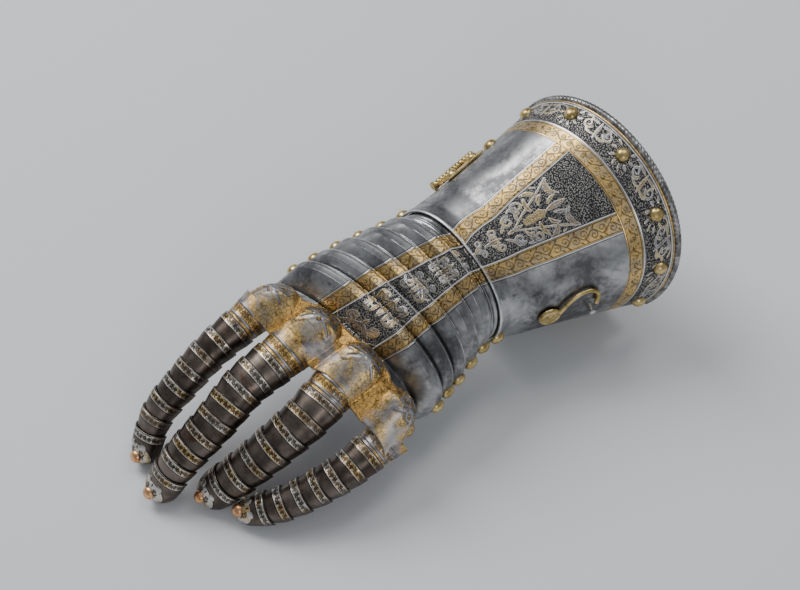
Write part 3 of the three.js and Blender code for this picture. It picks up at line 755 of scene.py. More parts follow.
# outer and inner faces of a channel; along and inset are given row by row
def fingerGrid(run, along, inset, thick, turns, close=None):
    along, inset = np.asarray(along, float)[:, None], np.asarray(inset, float)[:, None]
    close = np.ones_like(along) if close is None else np.asarray(close, float)[:, None]
    return (fingerPoint(run, along, turns[None, :], inset, close),
            fingerPoint(run, along, turns[None, :], inset + thick, close))


# row positions from stop to stop, each stretch with its own step
def rowPlaces(stops, steps):
    rows = []
    for start, end, step in zip(stops, stops[1:], steps):
        rows += list(np.linspace(start, end, max(2, int((end - start) / step) + 1))[:-1])
    return np.array(rows + [stops[-1]])


bandVine = runningVine(64, 1.9, 2.6, 0.24)
bandVine = [np.column_stack([s[:, 1] - 32, s[:, 0], s[:, 2]]) for s in bandVine]


def fingerScale(name, run, k):
    starts = scaleStarts(run)
    start, end = starts[k], starts[k + 1]
    turns = evenAngles(lambda a: fingerPoint(run, np.full_like(a, start), a, 0),
                       -120, 120, 1.5, 0.55, -78, 78)
    tuck = fingerSteel["tuck"]
    rows = rowPlaces([start, start + 5.4, end + tuck], [fingerSteel["fine"], fingerSteel["coarse"]])
    inset = np.interp(rows, [start, start + tuck + 0.6, end + tuck], [0, 0.1, underScale * 1.4])
    outer, inner = fingerGrid(run, rows, inset, fingerSteel["scale"], turns)
    along, across = gridLengths(outer, int(np.argmin(np.abs(turns))))
    band = np.maximum(along - fingerSteel["band"], 0.75 - along)
    motif = strokeField(across + 7.3 * (k % 3), along - fingerSteel["band"] / 2 - 0.35, bandVine, 1.5)
    normals = gridNormals(outer, outer.mean(axis=(0, 1)) - np.array([0, 0, 6.0]))
    relief = (-0.38 * (1 - easeStep(along, -0.1, 0.7)) + 0.1 * bump(along, 0.8, 0.4)
              - 0.1 * easeStep(-band, 0, 0.3) + 0.06 * bump(along, fingerSteel["band"] + 0.5, 0.4))
    outer = outer + normals * relief[..., None]
    crown = np.broadcast_to(np.abs(turns)[None, :], along.shape)
    return plateFromGrids(name, outer, inner, {"gilt": band, "motif": motif, "crown": crown, "edge": along},
                          (along, across), 0.18)


def onFinger(run, along, turn, close=1.0):
    spot = fingerPoint(run, along, turn, 0, close)
    ahead = fingerPoint(run, along + 1, turn, 0, close - 0.02) - spot
    beside = fingerPoint(run, along, turn + 4, 0, close) - spot
    return spot, unit(np.cross(ahead, beside))


def softened(values, passes=30):
    values = np.array(values, float)
    for _ in range(passes):
        values[1:-1] = (values[:-2] + 2 * values[1:-1] + values[2:]) / 4
    return values


palmette = mirrored([
    leaf(0.6, 5.4, 62, 4.2, 0.55, 40), leaf(1.6, 4.8, 20, 4.0, 0.5, 50), leaf(2.6, 6.6, -30, 3.4, 0.42, -40),
    curl(3.1, 3.2, 1.2, 200, -1.1, (0.32, 0.24)), curl(1.7, 8.0, 1.1, 250, 1.1, (0.3, 0.22)),
]) + [leaf(0, 5.6, 90, 5, 0.6), leaf(0, 2.6, -90, 2.6, 0.4)]


def fingerTip(name, run):
    start = run["length"] - fingerSteel["tip"]
    turns = evenAngles(lambda a: fingerPoint(run, np.full_like(a, start), a, 0),
                       -120, 120, 1.3, 0.5, -85, 85)
    local = np.linspace(0, 21.4, 48)
    inset = np.interp(local, [0, 8, 21], [0, 0.25, 0.3])
    close = softened(np.interp(local, [0, 8, 14, 18.5, 21, 21.4], [1, 1, 0.93, 0.72, 0.36, 0.2]), 6)
    thick = fingerSteel["scale"]
    outer = fingerPoint(run, start + local[:, None], turns[None, :], inset[:, None], close[:, None])
    back = thick * local / fingerSteel["tip"]
    inner = fingerPoint(run, (start + local - back)[:, None], turns[None, :],
                        (inset + thick)[:, None], close[:, None])
    along, across = gridLengths(outer, int(np.argmin(np.abs(turns))))
    band = np.maximum(along - fingerSteel["band"], 0.75 - along)
    vine = strokeField(across, along - fingerSteel["band"] / 2 - 0.35, bandVine, 1.5)
    shell = strokeField(across, along - 8.6, palmette, 2.0)
    reach = np.hypot(across / 8.4, (along - 15.2) / 6.6)
    shellZone = (reach - 1) * 6
    motif = np.where(along < 5.2, vine, shell)
    gilt = np.minimum(band, shellZone)
    normals = gridNormals(outer, outer.mean(axis=(0, 1)) - np.array([0, 0, 6.0]))
    relief = (-0.35 * (1 - easeStep(along, -0.1, 0.7)) + 0.1 * bump(along, 0.8, 0.4)
              - 0.1 * easeStep(-band, 0, 0.3) + 0.16 * easeStep(-shell, -0.1, 0.2) * (shellZone < 0.3))
    outer = outer + normals * relief[..., None]
    crown = np.broadcast_to(np.abs(turns)[None, :], along.shape)
    return plateFromGrids(name, outer, inner, {"gilt": gilt, "motif": motif, "crown": crown * 0.8, "edge": along},
                          (along, across), 0.18)


tipRivet = {"along": 16.6, "close": 0.84, "radius": 3.5, "height": 2.1}
flushRivet = {"along": 9, "turn": 24, "radius": 2.0}

for fingerName, run in fingers.items():
    for k in range(run["scales"]):
        scale = fingerScale(f"{fingerName}_scale_plate_{k + 1}", run, k)
        place(scale, russet, "knuckles", f"{fingerName}_scale_{k + 1}", slot="russet")
    tip = fingerTip(f"{fingerName}_tip_plate", run)
    place(tip, russet, "knuckles", f"{fingerName}_tip", slot="russet")
    start = run["length"] - fingerSteel["tip"]
    spot, normal = onFinger(run, start + tipRivet["along"], 0, tipRivet["close"])
    dome = domeRivet(f"{fingerName}_tip_rivet", spot - normal * 0.1, normal,
                     tipRivet["radius"], tipRivet["height"])
    place(dome, copper, "knuckles", slot="brass")
    flats = []
    for side in (-1, 1):
        spot, normal = onFinger(run, start + flushRivet["along"], side * flushRivet["turn"], 0.98)
        r = flushRivet["radius"]
        profile = [(0, 0.36), (r * 0.55, 0.34), (r * 0.9, 0.24), (r, 0.1), (r, -0.5), (0, -0.5)]
        flats.append(turned("flush", profile, spot, normal, 22))
    flats = joined(f"{fingerName}_flush_rivets", flats)
    place(flats, silverSteel, "knuckles", slot="steel")
    # the leather strip that the scales are riveted to
    turns = evenAngles(lambda a: fingerPoint(run, np.full_like(a, 20.0), a, 3), -124, 124, 1.4, 1.4, 0, 1)
    rows = np.arange(fingerSteel["neck"] + 5, run["length"] - fingerSteel["tip"] * 0.6, 1.5)
    inset = np.full_like(rows, underScale + fingerSteel["scale"] + fingerSteel["strapPlay"])
    outer, inner = fingerGrid(run, rows, inset, fingerSteel["leather"], turns)
    lengths = gridLengths(outer, len(turns) // 2)
    strap = plateFromGrids(f"{fingerName}_leather", outer, inner, None, lengths, 0.15)
    place(strap, redLeather, "knuckles", f"{fingerName}_strap", slot="leather")
print("fingers made")


# the back of the hand
strips = {
    # angles of each gilt strip's edges: at the cuff's edge and at the knuckles
    "wrist": (-15.5, -4.5, 11.5, 22.2), "knuckle": (-23, -13, 13.8, 21.5), "length": 88,
    "fineFrom": -30, "fineTo": 30, "fine": 0.45, "coarse": 1.6, "step": 0.5,
}


def handStops(index):
    if index == 0:
        return [archStop(0, -5, 0), archStop(0, 4.5, 0), archStop(1, -3.6, 0), archStop(1, 2.5, 0)]
    over = hand["play"] + hand["plate"]
    reachBack = -8 if index == 5 else -3.6
    return [archStop(index, -2, over), archStop(index, 4, over),
            archStop(index + 1, reachBack, 0), archStop(index + 1, 2.5, 0)]


# distance to the gilt strips and to the etched panel between them, in mm
def stripFields(across, angles, edges):
    def acrossAt(edge):
        rows = zip(np.broadcast_to(edge, len(across)), across)
        return np.array([np.interp(angle, angles, row) for angle, row in rows])[:, None]

    farOut, farIn, nearIn, nearOut = (acrossAt(edge) for edge in edges)
    far = np.maximum(farOut - across, across - farIn)
    near = np.maximum(nearIn - across, across - nearOut)
    panel = np.maximum(farIn - across, across - nearIn)
    return np.minimum(far, near), panel, (farOut + farIn) / 2, (nearIn + nearOut) / 2


# the etched panel from the wrist to the knuckles; x across, y toward the fingers
def handMotifs():
    strokes = []
    for y, size, flip in [(4, 5.5, 1), (17, 6.5, -1), (33, 8, 1), (52, 10, -1), (74, 12, 1)]:
        s = size
        half = [
            stroke([(0.06 * s, -0.3 * s), (0.45 * s, 0), (0.85 * s, 0.45 * s * flip), (0.62 * s, 0.95 * s)],
                   (0.1 * s, 0.13 * s, 0.1 * s, 0.04 * s)),
            curl(0.62 * s, 0.62 * s, 0.34 * s, -60, 1.3, (0.1 * s, 0.05 * s)),
            curl(0.56 * s, -0.42 * s, 0.27 * s, 90, -1.25, (0.09 * s, 0.045 * s)),
            leaf(0.3 * s, 0.15 * s, 65, 0.75 * s, 0.11 * s, 40),
            leaf(0.86 * s, 0.3 * s, -20, 0.42 * s, 0.08 * s, -50),
            leaf(0.3 * s, -0.15 * s, -50, 0.6 * s, 0.09 * s, 35),
        ]
        strokes += movedTo(mirrored(half), 0, y)
        strokes += [leaf(0, y - 0.35 * s, 90, 1.25 * s, 0.17 * s), leaf(0, y - 0.3 * s, -90, 0.45 * s, 0.1 * s)]
    return strokes


vineStrokes = runningVine(190, 4.6, 5.2)
handStrokes = handMotifs()


def decorated(outer, angles, edges, alongFrom, motifStrokes):
    along, across = gridLengths(outer, int(np.argmin(np.abs(angles))))
    along = along + alongFrom
    gilt, ground, farMiddle, nearMiddle = stripFields(across, angles, edges(along[:, len(angles) // 2]))
    panelMiddle = (farMiddle + nearMiddle) / 2
    vine = np.minimum(strokeField(across - farMiddle, along + 3, vineStrokes, 1.5),
                      strokeField(across - nearMiddle, along + 9, vineStrokes, 1.5))
    panel = strokeField(across - panelMiddle, along, motifStrokes)
    motif = np.where(gilt < 0.3, vine, panel)
    return along, across, gilt, ground, motif


def handPlate(name, index, alongFrom, extra=None):
    reach = hand["reach"]
    stops = handStops(index)
    angles = evenAngles(lambda a: archPoint(pivots[index], 0, a, 0), -reach, reach,
                        strips["coarse"], strips["fine"], strips["fineFrom"], strips["fineTo"])
    outer = pathRows(stops, angles, 0, strips["step"])
    inner = pathRows(stops, angles, hand["plate"], strips["step"])

    def edges(along):
        part = np.clip(along / strips["length"], 0, 1)
        return [a + (b - a) * part for a, b in zip(strips["wrist"], strips["knuckle"])]

    along, across, gilt, ground, motif = decorated(outer, angles, edges, alongFrom, handStrokes)
    here = along - alongFrom
    normals = gridNormals(outer, pivots[index]["place"])
    relief = (-0.1 * easeStep(-ground, -0.1, 0.15)
              + 0.1 * easeStep(-ground, 0, 0.2) * easeStep(-motif, -0.1, 0.15))
    relief = relief - 0.12 * bump(gilt, 0.02, 0.2) + 0.08 * bump(gilt, 0.5, 0.3)
    if index > 0:
        # a bevelled edge, then a slight hollow
        relief = (relief - 0.5 * (1 - easeStep(here, -0.2, 1.3)) + 0.12 * bump(here, 2.0, 0.8)
                  - 0.18 * bump(here, 5.5, 2.6))
    if extra is not None:
        relief = relief + extra(here)
    outer = outer + normals * relief[..., None]
    edge = here if index > 0 else here + 9
    fields = {"gilt": gilt, "ground": ground, "motif": motif, "edge": edge}
    plate = plateFromGrids(name, outer, inner, fields, (along, across))
    return plate


def sideRivets(name, index, off, radius=4.2, height=2.9):
    pivot = pivots[index]
    made = []
    for side in (-1, 1):
        spot = pivot["place"] + pivot["across"] * side * (pivot["half"] + off - 0.25)
        made.append(domeRivet(name, spot, pivot["across"] * side, radius, height))
    return joined(name, made)


lameNames = ["wrist_lame", "lame_a", "lame_b", "lame_c", "lame_d", "metacarpal_plate"]
plateStart = [0, 8, 19, 31, 42, 53]
twoLines = lambda here: -0.25 * bump(here, 12.0, 0.28) - 0.25 * bump(here, 13.4, 0.28)
for index, node in enumerate(lameNames):
    plate = handPlate(node + "_plate" if index < 5 else "back_plate", index, plateStart[index],
                      twoLines if index == 0 else None)
    place(plate, bluedSteel, node, node, slot="steel")
    if index > 0:
        rivets = sideRivets(node + "_rivets", index, hand["play"] + hand["plate"])
        place(rivets, brass, node, slot="brass")
print("hand plates made")


# the knuckle plate
knuckle = {
    "end": {"x": 12.5, "y": -75, "z": 36, "half": 51, "rise": 22, "roll": 10, "lead": 14},
    "ball": 17, "sunk": 11, "scallop": 4, "spread": 17,
    "domes": {"index": -44, "middle": -10.5, "ring": 14.5, "little": 57}, "ahead": 6, "step": 0.5,
}
endAcross, endForward, endUp = turnedFrame(
    acrossAxis(knuckle["end"]["roll"], knuckle["end"]["lead"], knuckle["end"]["half"]), 13)
knuckleEnd = {"place": np.array([knuckle["end"][k] for k in "xyz"]) + shift, "across": endAcross,
              "forward": endForward, "up": endUp, "half": knuckle["end"]["half"], "rise": knuckle["end"]["rise"]}


def scallopEdge(angles):
    bows = [1 - ((angles - dome) / knuckle["spread"]) ** 2 for dome in knuckle["domes"].values()]
    reach = np.maximum(0, np.max(bows, axis=0))
    return -2 - knuckle["scallop"] * np.sqrt(reach)


def domeLines():
    lines = []
    for fingerName, angle in knuckle["domes"].items():
        run = fingers[fingerName]
        high = archPoint(pivots[6], knuckle["ahead"], angle, hand["play"] + hand["plate"])
        low = run["line"][0] + run["heading"][0] * 2
        lines.append((high, low - np.array([0, 0, knuckle["ball"] - knuckle["sunk"] + 0.5])))
    return lines


def domeLift(points):
    best = np.zeros(points.shape[:-1])
    for high, low in domeLines():
        span = low - high
        t = np.clip(((points - high) @ span) / span.dot(span), 0, 1)
        away = np.linalg.norm(points - (high + t[..., None] * span), axis=-1)
        ball = np.sqrt(np.maximum(knuckle["ball"] ** 2 - away ** 2, 0))
        best = np.maximum(best, ball - knuckle["sunk"])
    return np.maximum(best, 0)


def knucklePlate(name):
    off = hand["play"] + hand["plate"]
    reach = hand["reach"]
    angles = evenAngles(lambda a: archPoint(pivots[6], 0, a, 0), -reach, reach,
                        0.9, knuckle["step"], -75, 88)
    stops = [archStop(6, scallopEdge, off), archStop(6, 4, off),
             lambda a, drop: archPoint(knuckleEnd, 0, a, off - drop)]
    base = pathRows(stops, angles, 0, knuckle["step"])
    lower = pathRows(stops, angles, hand["plate"], knuckle["step"])
    lift = domeLift(base)
    lean = np.radians(np.minimum(80, np.abs(angles)))
    outward = (np.cos(lean)[:, None] * pivots[6]["up"]
               + np.sin(np.radians(angles))[:, None] * pivots[6]["across"])
    outer, inner = base + lift[..., None] * outward, lower + lift[..., None] * outward
    along, across = gridLengths(outer, int(np.argmin(np.abs(angles))))
    motif, fine = np.full(along.shape, 3.0), np.full(along.shape, 3.0)
    for d in knuckle["domes"].values():
        column = int(np.argmin(np.abs(angles - d)))
        x, y = across - across[:, [column]], along - 10.5
        lines = [stroke([(0, -11), (0.3, -6), (0, -1.8)], (0.5, 0.7, 0.4))]
        lines += mirrored([stroke([(0.4, -1.5), (3.2, -4.2), (7.6, -7.4)], (0.35, 0.6, 0.5)),
                           stroke([(0.8, -0.6), (5, -0.9), (10, -2.2)], (0.35, 0.6, 0.5)),
                           stroke([(0.8, 0.4), (4.6, 2.6), (8.8, 4.6)], (0.35, 0.55, 0.4)),
                           stroke([(0, -6.8), (1.8, -8.4), (4.4, -6.2)], (0.3, 0.4, 0.3)),
                           stroke([(4.4, -6.2), (7.4, -6.0), (8, -1.8)], (0.3, 0.4, 0.3))])
        lines += [curl(0, 1.6, 2.3, 90, 1.0, (0.35, 0.35), 0.1)]
        motif = np.minimum(motif, strokeField(x, y, lines, 2.5))
        curls = mirrored([curl(1.7, -5.2, 1.1, 30, 1.4, (0.24, 0.2)), curl(5.4, -3.5, 1.3, 200, -1.4, (0.24, 0.2)),
                          curl(5.6, 1.2, 1.2, 120, 1.4, (0.24, 0.2)), leaf(2.2, -8.8, 60, 2.6, 0.3),
                          curl(2.2, 4.8, 1.1, 10, -1.4, (0.24, 0.2)), leaf(7.6, -4.6, -60, 2.2, 0.3)])
        curls += [curl(0, 1.6, 1.4, 0, 1.4, (0.24, 0.2))]
        fine = np.minimum(fine, strokeField(x, y, curls, 2.5))
    normals = gridNormals(outer, pivots[6]["place"])
    high = lift / (knuckle["ball"] - knuckle["sunk"])
    relief = (-0.5 * (1 - easeStep(along, -0.2, 1.0)) + 0.14 * bump(along, 1.4, 0.6)
              + 0.22 * easeStep(motif, -0.1, 0.6) * (motif < 2.4) - 0.12 * easeStep(-fine, -0.1, 0.1))
    outer = outer + normals * relief[..., None]
    zone = np.broadcast_to((np.maximum(-68 - angles, angles - 82) * 0.8)[None, :], along.shape)
    fields = {"gilt": zone, "motif": motif, "fine": fine, "high": high, "edge": along}
    return plateFromGrids(name, outer, inner, fields, (along, across), 0.2)


def fingerNeck(name, run):
    turns = evenAngles(lambda a: fingerPoint(run, np.full_like(a, 0.0), a, 0), -120, 120, 1.3, 0.5, -90, 90)
    rows = np.arange(-11, 7.01, 0.5)
    inset = softened(np.interp(rows, [-11, -3, 3.4, 7], [-0.8, 0.2, underScale, underScale]), 4)
    outer, inner = fingerGrid(run, rows, inset, fingerSteel["scale"], turns)
    along, across = gridLengths(outer, int(np.argmin(np.abs(turns))))
    ring = strokeField(across, rows[:, None] + 1.2 + 0 * across, bandVine, 1.5)
    inside = (rows[:, None] > -3.6) & (rows[:, None] < 1.2)
    motif = np.minimum(np.abs(rows[:, None] + 4.2), np.abs(rows[:, None] - 1.8)) - 0.35 + 0 * across
    fine = np.where(inside, ring, 2.0)
    normals = gridNormals(outer, outer.mean(axis=(0, 1)) - np.array([0, 0, 6.0]))
    relief = 0.25 * bump(rows, -4.2, 0.5) + 0.25 * bump(rows, 1.8, 0.5)
    outer = outer + normals * relief[:, None, None]
    fields = {"gilt": np.full(along.shape, -3.0), "motif": motif, "fine": fine,
              "high": np.full(along.shape, 0.3), "edge": np.full(along.shape, 5.0)}
    return plateFromGrids(name, outer, inner, fields, (along, across), 0)


necks = [fingerNeck("neck", run) for run in fingers.values()]
knuckles = joined("knuckle_guard", [knucklePlate("knuckle_guard")] + necks)
place(knuckles, knuckleGilt, "knuckles", "knuckle_plate", slot="gilt")
rivets = sideRivets("knuckle_rivets", 6, hand["play"] + hand["plate"])
place(rivets, brass, "knuckles", slot="brass")
print("knuckles made")


# the cuff
cuffPlate = {
    "low": -86, "high": 107, "fineFrom": -34, "fineTo": 42, "fine": 0.48, "coarse": 1.7, "step": 0.48,
    "bandLow": 0.69, "bandHigh": 0.776, "borderLow": 0.79, "borderHigh": 0.94,
    "ribLow": 0.945, "ribHigh": 0.957,
    "plateEnd": 0.968, "rope": 0.977, "ropeRadius": 2.0,
    # angles of the strips' edges, at these distances from the wrist
    "stations": (0, 0.14, 0.35, 0.69), "farOut": (-15.5, -21, -25, -28), "farIn": (-4.5, -10, -15.5, -19),
    "nearIn": (11.5, 15.5, 19, 24), "nearOut": (22.2, 27.5, 31.5, 35),
}
rimRivet = {"v": 0.885, "radius": 4.0, "height": 3.0,
            "angles": (-74, -37, 0, 35, 69, 100), "lower": (128, 158, 188, 218, 248)}


def cuffRow(v):
    return lambda angles, drop: cuffPoint(v, angles, -drop)


# the long etched panel: a shield before crossed staves and pennants, with leaves toward the wrist
def cuffMotifs():
    half = [
        stroke([(0, 26), (5, 36), (10, 47), (15.5, 57)], (0.5, 0.6, 0.6, 0.5)),
        stroke([(15.5, 57), (13, 54.5), (8, 54), (4.5, 57.5)], (0.5, 2.0, 1.4, 0.3)),
        stroke([(10, 47), (13, 44), (14, 40)], (1.2, 1.5, 0.3)),
        leaf(3.5, 40, -20, 9, 1.2, 60), leaf(4.2, 45, 10, 7, 1.0, 70), leaf(2.6, 49, 50, 7, 0.9, 40),
        curl(9.6, 35.5, 3.4, 210, 1.3, (1.1, 0.45)), curl(5.6, 26.5, 3.0, 30, -1.3, (1.0, 0.4)),
        leaf(3.4, 31, 10, 6, 0.9, 50), leaf(2, 20, 60, 6, 0.8, -30),
        curl(4.4, 16.5, 2.5, 180, 1.25, (0.85, 0.35)), leaf(1.2, 12.5, 40, 5, 0.7, 40),
        curl(3.2, 6.5, 2.0, 200, -1.25, (0.75, 0.3)), leaf(0.8, 3, 60, 4, 0.6, 40),
        leaf(9.6, 29, 60, 5, 0.7, 40), leaf(13.6, 50, -70, 5, 0.7, 40),
    ]
    middle = [stroke([(0, 34), (0, 38), (0, 43), (0, 46)], (2.2, 3.6, 3.4, 0.6)),
              leaf(0, 47, 90, 11, 1.6), leaf(0, 23, 90, 9, 1.2), leaf(0, 9, 90, 10, 1.0), leaf(0, 0, 90, 7, 0.8)]
    return mirrored(half) + middle


# leaves round each lining rivet and scrolls between; x runs round the rim, y toward the edge
def borderMotifs(marks):
    strokes = []
    for x in marks:
        for heading in range(0, 360, 36):
            c, s = math.cos(rad(heading)), math.sin(rad(heading))
            strokes.append(leaf(x + 4.6 * c, 4.6 * s, heading, 3.4, 0.75, 25))
    for a, b in zip(marks, marks[1:]):
        middle, gap = (a + b) / 2, (b - a) / 2
        half = [curl(gap * 0.36, 0.6, 3.0, 200, 1.3, (0.8, 0.35)), leaf(1.4, 3.2, 20, 6, 0.8, -40),
                leaf(1.0, -3.4, -15, 6, 0.8, 40), leaf(gap * 0.3, 4.6, 10, 5, 0.6, -30)]
        strokes += movedTo(mirrored(half), middle, 0) + [leaf(middle, -5.5, 90, 11, 1.0)]
    return strokes


def cuffPlateOuter():
    p = cuffPlate
    off = hand["play"] + cuff["steel"]
    angles = evenAngles(lambda a: cuffPoint(0.6, a, 0), p["low"], p["high"],
                        p["coarse"], p["fine"], p["fineFrom"], p["fineTo"])
    stops = [archStop(0, 3.2, off), archStop(0, -5, off)]
    stops += [cuffRow(v) for v in np.linspace(0.14, p["bandLow"], 8)]
    outer = pathRows(stops, angles, 0, p["step"])
    inner = pathRows(stops, angles, cuff["steel"], p["step"])
    for grid in (outer, inner):      # eases the bend where the wrist's arch becomes the cuff
        for _ in range(12):
            grid[1:-1] = (grid[:-2] + 2 * grid[1:-1] + grid[2:]) / 4
    middle = int(np.argmin(np.abs(angles)))
    reach = np.concatenate([[0], np.cumsum(np.linalg.norm(np.diff(outer[:, middle], axis=0), axis=1))])
    v = p["bandLow"] * np.clip(reach / reach[-1], 0, 1)
    sides = [np.interp(v, p["stations"], p[key]) for key in ("farOut", "farIn", "nearIn", "nearOut")]
    along, across, gilt, ground, motif = decorated(outer, angles, lambda along: sides, 0, cuffStrokes)
    normals = gridNormals(outer, outer.mean(axis=(0, 1)))
    relief = (-0.45 * (1 - easeStep(along, -0.2, 1.1)) + 0.12 * bump(along, 1.7, 0.6)
              - 0.12 * easeStep(-ground, -0.1, 0.15)
              + 0.12 * easeStep(-ground, 0, 0.2) * easeStep(-motif, -0.1, 0.15)
              - 0.12 * bump(gilt, 0.02, 0.2) + 0.1 * bump(gilt, 0.5, 0.35))
    outer = outer + normals * relief[..., None]
    fields = {"gilt": gilt, "ground": ground, "motif": motif, "edge": along}
    return plateFromGrids("cuff_back", outer, inner, fields, (along, across), 0.2)


# the cross band, the etched border and the thin gilt rib, out to the turned edge
def cuffRimBand(name, low, high, inward, marks):
    p = cuffPlate
    angles = evenAngles(lambda a: cuffPoint(0.85, a, -inward), low, high, 0.6, 0.6, 0, 1)
    middle = cuffPoint(np.linspace(p["bandLow"], p["plateEnd"], 60), 0, -inward)
    length = np.linalg.norm(np.diff(middle, axis=0), axis=1).sum()
    v = np.linspace(p["bandLow"], p["plateEnd"], int(length / p["step"]))
    outer = cuffPoint(v[:, None], angles[None, :], -inward)
    inner = cuffPoint(v[:, None], angles[None, :], -inward - cuff["steel"])
    along, across = gridLengths(outer, int(np.argmin(np.abs(angles - marks[0]))))
    perV = length / (p["plateEnd"] - p["bandLow"])
    rows = v[:, None] + 0 * along
    zone = lambda a, b: np.maximum(p[a] - rows, rows - p[b]) * perV
    gilt = np.minimum(zone("bandLow", "bandHigh"), zone("ribLow", "ribHigh"))
    ground = zone("borderLow", "borderHigh")
    bandMiddle = (p["bandLow"] + p["bandHigh"]) / 2
    vine = strokeField((rows - bandMiddle) * perV, across + 60, runningVine(320, 3.4, 5.2), 1.5)
    rivetRow = int(np.argmin(np.abs(v - rimRivet["v"])))
    places = np.interp(marks, angles, across[rivetRow])
    leaves = strokeField(across, (rows - rimRivet["v"]) * perV, borderMotifs(list(places)))
    motif = np.where(ground < 0.1, leaves, vine)
    motif = np.where(rows > p["borderHigh"], 2.0, motif)
    normals = gridNormals(outer, outer.mean(axis=(0, 1)))
    relief = (-0.18 * easeStep(-ground, -0.1, 0.3)
              + 0.14 * easeStep(-ground, 0, 0.2) * easeStep(-motif, -0.1, 0.15)
              - 0.12 * bump(gilt, 0.02, 0.2) + 0.1 * bump(rows * perV, p["bandHigh"] * perV + 0.6, 0.4)
              + 0.5 * bump(zone("ribLow", "ribHigh"), -0.5, 0.8))
    outer = outer + normals * relief[..., None]
    edge = np.full(along.shape, 6.0)
    return plateFromGrids(name, outer, inner, {"gilt": gilt, "ground": ground, "motif": motif, "edge": edge},
                          (along, across), 0.2)


# the turned edge, filed like a rope
def ropeEdge(name, low, high, inward, radius):
    p = cuffPlate
    dense = np.linspace(low, high, 2000)
    line = cuffPoint(p["rope"], dense, -0.45 - inward)
    arc = np.concatenate([[0], np.cumsum(np.linalg.norm(np.diff(line, axis=0), axis=1))])
    count = int(arc[-1] / 0.42)
    angles = np.interp(np.linspace(0, arc[-1], count), arc, dense)
    centres = cuffPoint(p["rope"], angles, -0.45 - inward)
    pitch = 2.6 / 0.42      # rows from one strand to the next
    strands = lambda i, turns: 1 - 0.2 * np.abs(np.cos(math.pi * i / pitch + turns * 1.5)) ** 6
    return rod(name, centres, radius, 20, 1.0, 60, strands)


cuffStrokes = cuffMotifs()
back = cuffPlateOuter()
place(back, bluedSteel, "cuff_outer", "cuff_outer", slot="steel")
border = cuffRimBand("cuff_border", cuffPlate["low"], cuffPlate["high"], 0, rimRivet["angles"])
place(border, bluedSteel, "cuff_outer", slot="steel")
rope = ropeEdge("cuff_rope", cuffPlate["low"], cuffPlate["high"], 0, cuffPlate["ropeRadius"])
place(rope, bareRope, "cuff_outer", slot="steel")


def cuffNormal(v, angle):
    spot = cuffPoint(v, angle, 0)
    return unit(np.cross(cuffPoint(v, angle + 3, 0) - spot, cuffPoint(v + 0.04, angle, 0) - spot))


def onCuff(v, angle, off):
    return cuffPoint(v, angle, off), cuffNormal(v, angle)


def cuffRivets(name, angles, inward):
    made = []
    for angle in angles:
        spot, normal = onCuff(rimRivet["v"], angle, -inward - 0.1)
        made.append(domeRivet("rivet", spot, normal, rimRivet["radius"], rimRivet["height"]))
    return joined(name, made)


place(cuffRivets("cuff_lining_rivets", rimRivet["angles"], 0), brass, "cuff_outer", slot="brass")
wristRivets = sideRivets("cuff_wrist_rivets", 0, hand["play"] + hand["plate"] + 0.1)
spot, normal = onCuff(0.61, -79, -0.1)
single = domeRivet("single", spot, normal, 4.2, 2.8)
place(joined("cuff_side_rivets", [wristRivets, single]), brass, "cuff_outer", slot="brass")
print("outer cuff made")

innerCuff = {"layer": cuff["steel"] + hand["play"],
             "tongueLow": 64.1, "tongueHigh": 119, "low": 116, "high": 270}


def innerSheet(name, low, high, vLow, vHigh, dense):
    angles = evenAngles(lambda a: cuffPoint(0.6, a, 0), low, high, 1.8, dense, low, high)
    v = np.linspace(vLow, vHigh, 40)
    outer = cuffPoint(v[:, None], angles[None, :], -innerCuff["layer"])
    inner = cuffPoint(v[:, None], angles[None, :], -innerCuff["layer"] - cuff["steel"])
    along, across = gridLengths(outer, len(angles) // 2)
    fields = {"edge": along + 0.2}
    return plateFromGrids(name, outer, inner, fields, (along, across), 0.2)


main = innerSheet("inner_main", innerCuff["low"], innerCuff["high"], 0.14, cuffPlate["bandLow"], 1.8)
tongue = innerSheet("inner_tongue", innerCuff["tongueLow"], innerCuff["tongueHigh"], 0.14, 0.88, 1.8)
place(joined("inner_cuff", [main, tongue]), bareSteel, "cuff_inner", "cuff_inner", slot="steel")
layer = innerCuff["layer"]
border = cuffRimBand("inner_border", innerCuff["low"], innerCuff["high"], layer, rimRivet["lower"])
place(border, bluedSteel, "cuff_inner", slot="steel")
rope = ropeEdge("inner_rope", innerCuff["low"] + 1, innerCuff["high"], layer, cuffPlate["ropeRadius"])
place(rope, bareRope, "cuff_inner", slot="steel")
rivets = cuffRivets("inner_lining_rivets", rimRivet["lower"], layer)
place(rivets, brass, "cuff_inner", slot="brass")
print("inner cuff made")

# the hook and its stud
hook = {"v": 0.235, "angle": 79, "radius": 6.4, "thick": 1.6, "lift": 0.4, "arm": 1.3,
        "line": [(0.275, 75), (0.325, 68), (0.385, 64), (0.45, 64), (0.497, 69), (0.502, 77.2)]}
stud = {"v": 0.5, "angle": 83, "radius": 2.0}
spot, normal = onCuff(hook["v"], hook["angle"], 0)
r, low, top = hook["radius"], hook["lift"], hook["lift"] + hook["thick"]
profile = [(0, top - 0.1), (1.2, top), (1.7, top - 0.25), (2.2, top - 0.05), (4.3, top - 0.05),
           (4.8, top - 0.3), (5.2, top + 0.05), (5.9, top), (r, low + 0.7), (r - 0.1, low), (0, low)]
disc = turned("hook_disc", profile, spot, normal, 48)
pin = turned("hook_pin", [(0, low + 0.5), (1.5, low + 0.5), (1.5, -1.4), (0, -1.4)], spot, normal, 20)
path = stroke([(v * 100, angle) for v, angle in hook["line"]], [1], 0.6)
lifted = hook["lift"] + hook["arm"] + 0.5
centres = cuffPoint(path[:, 0] / 100, path[:, 1], lifted)
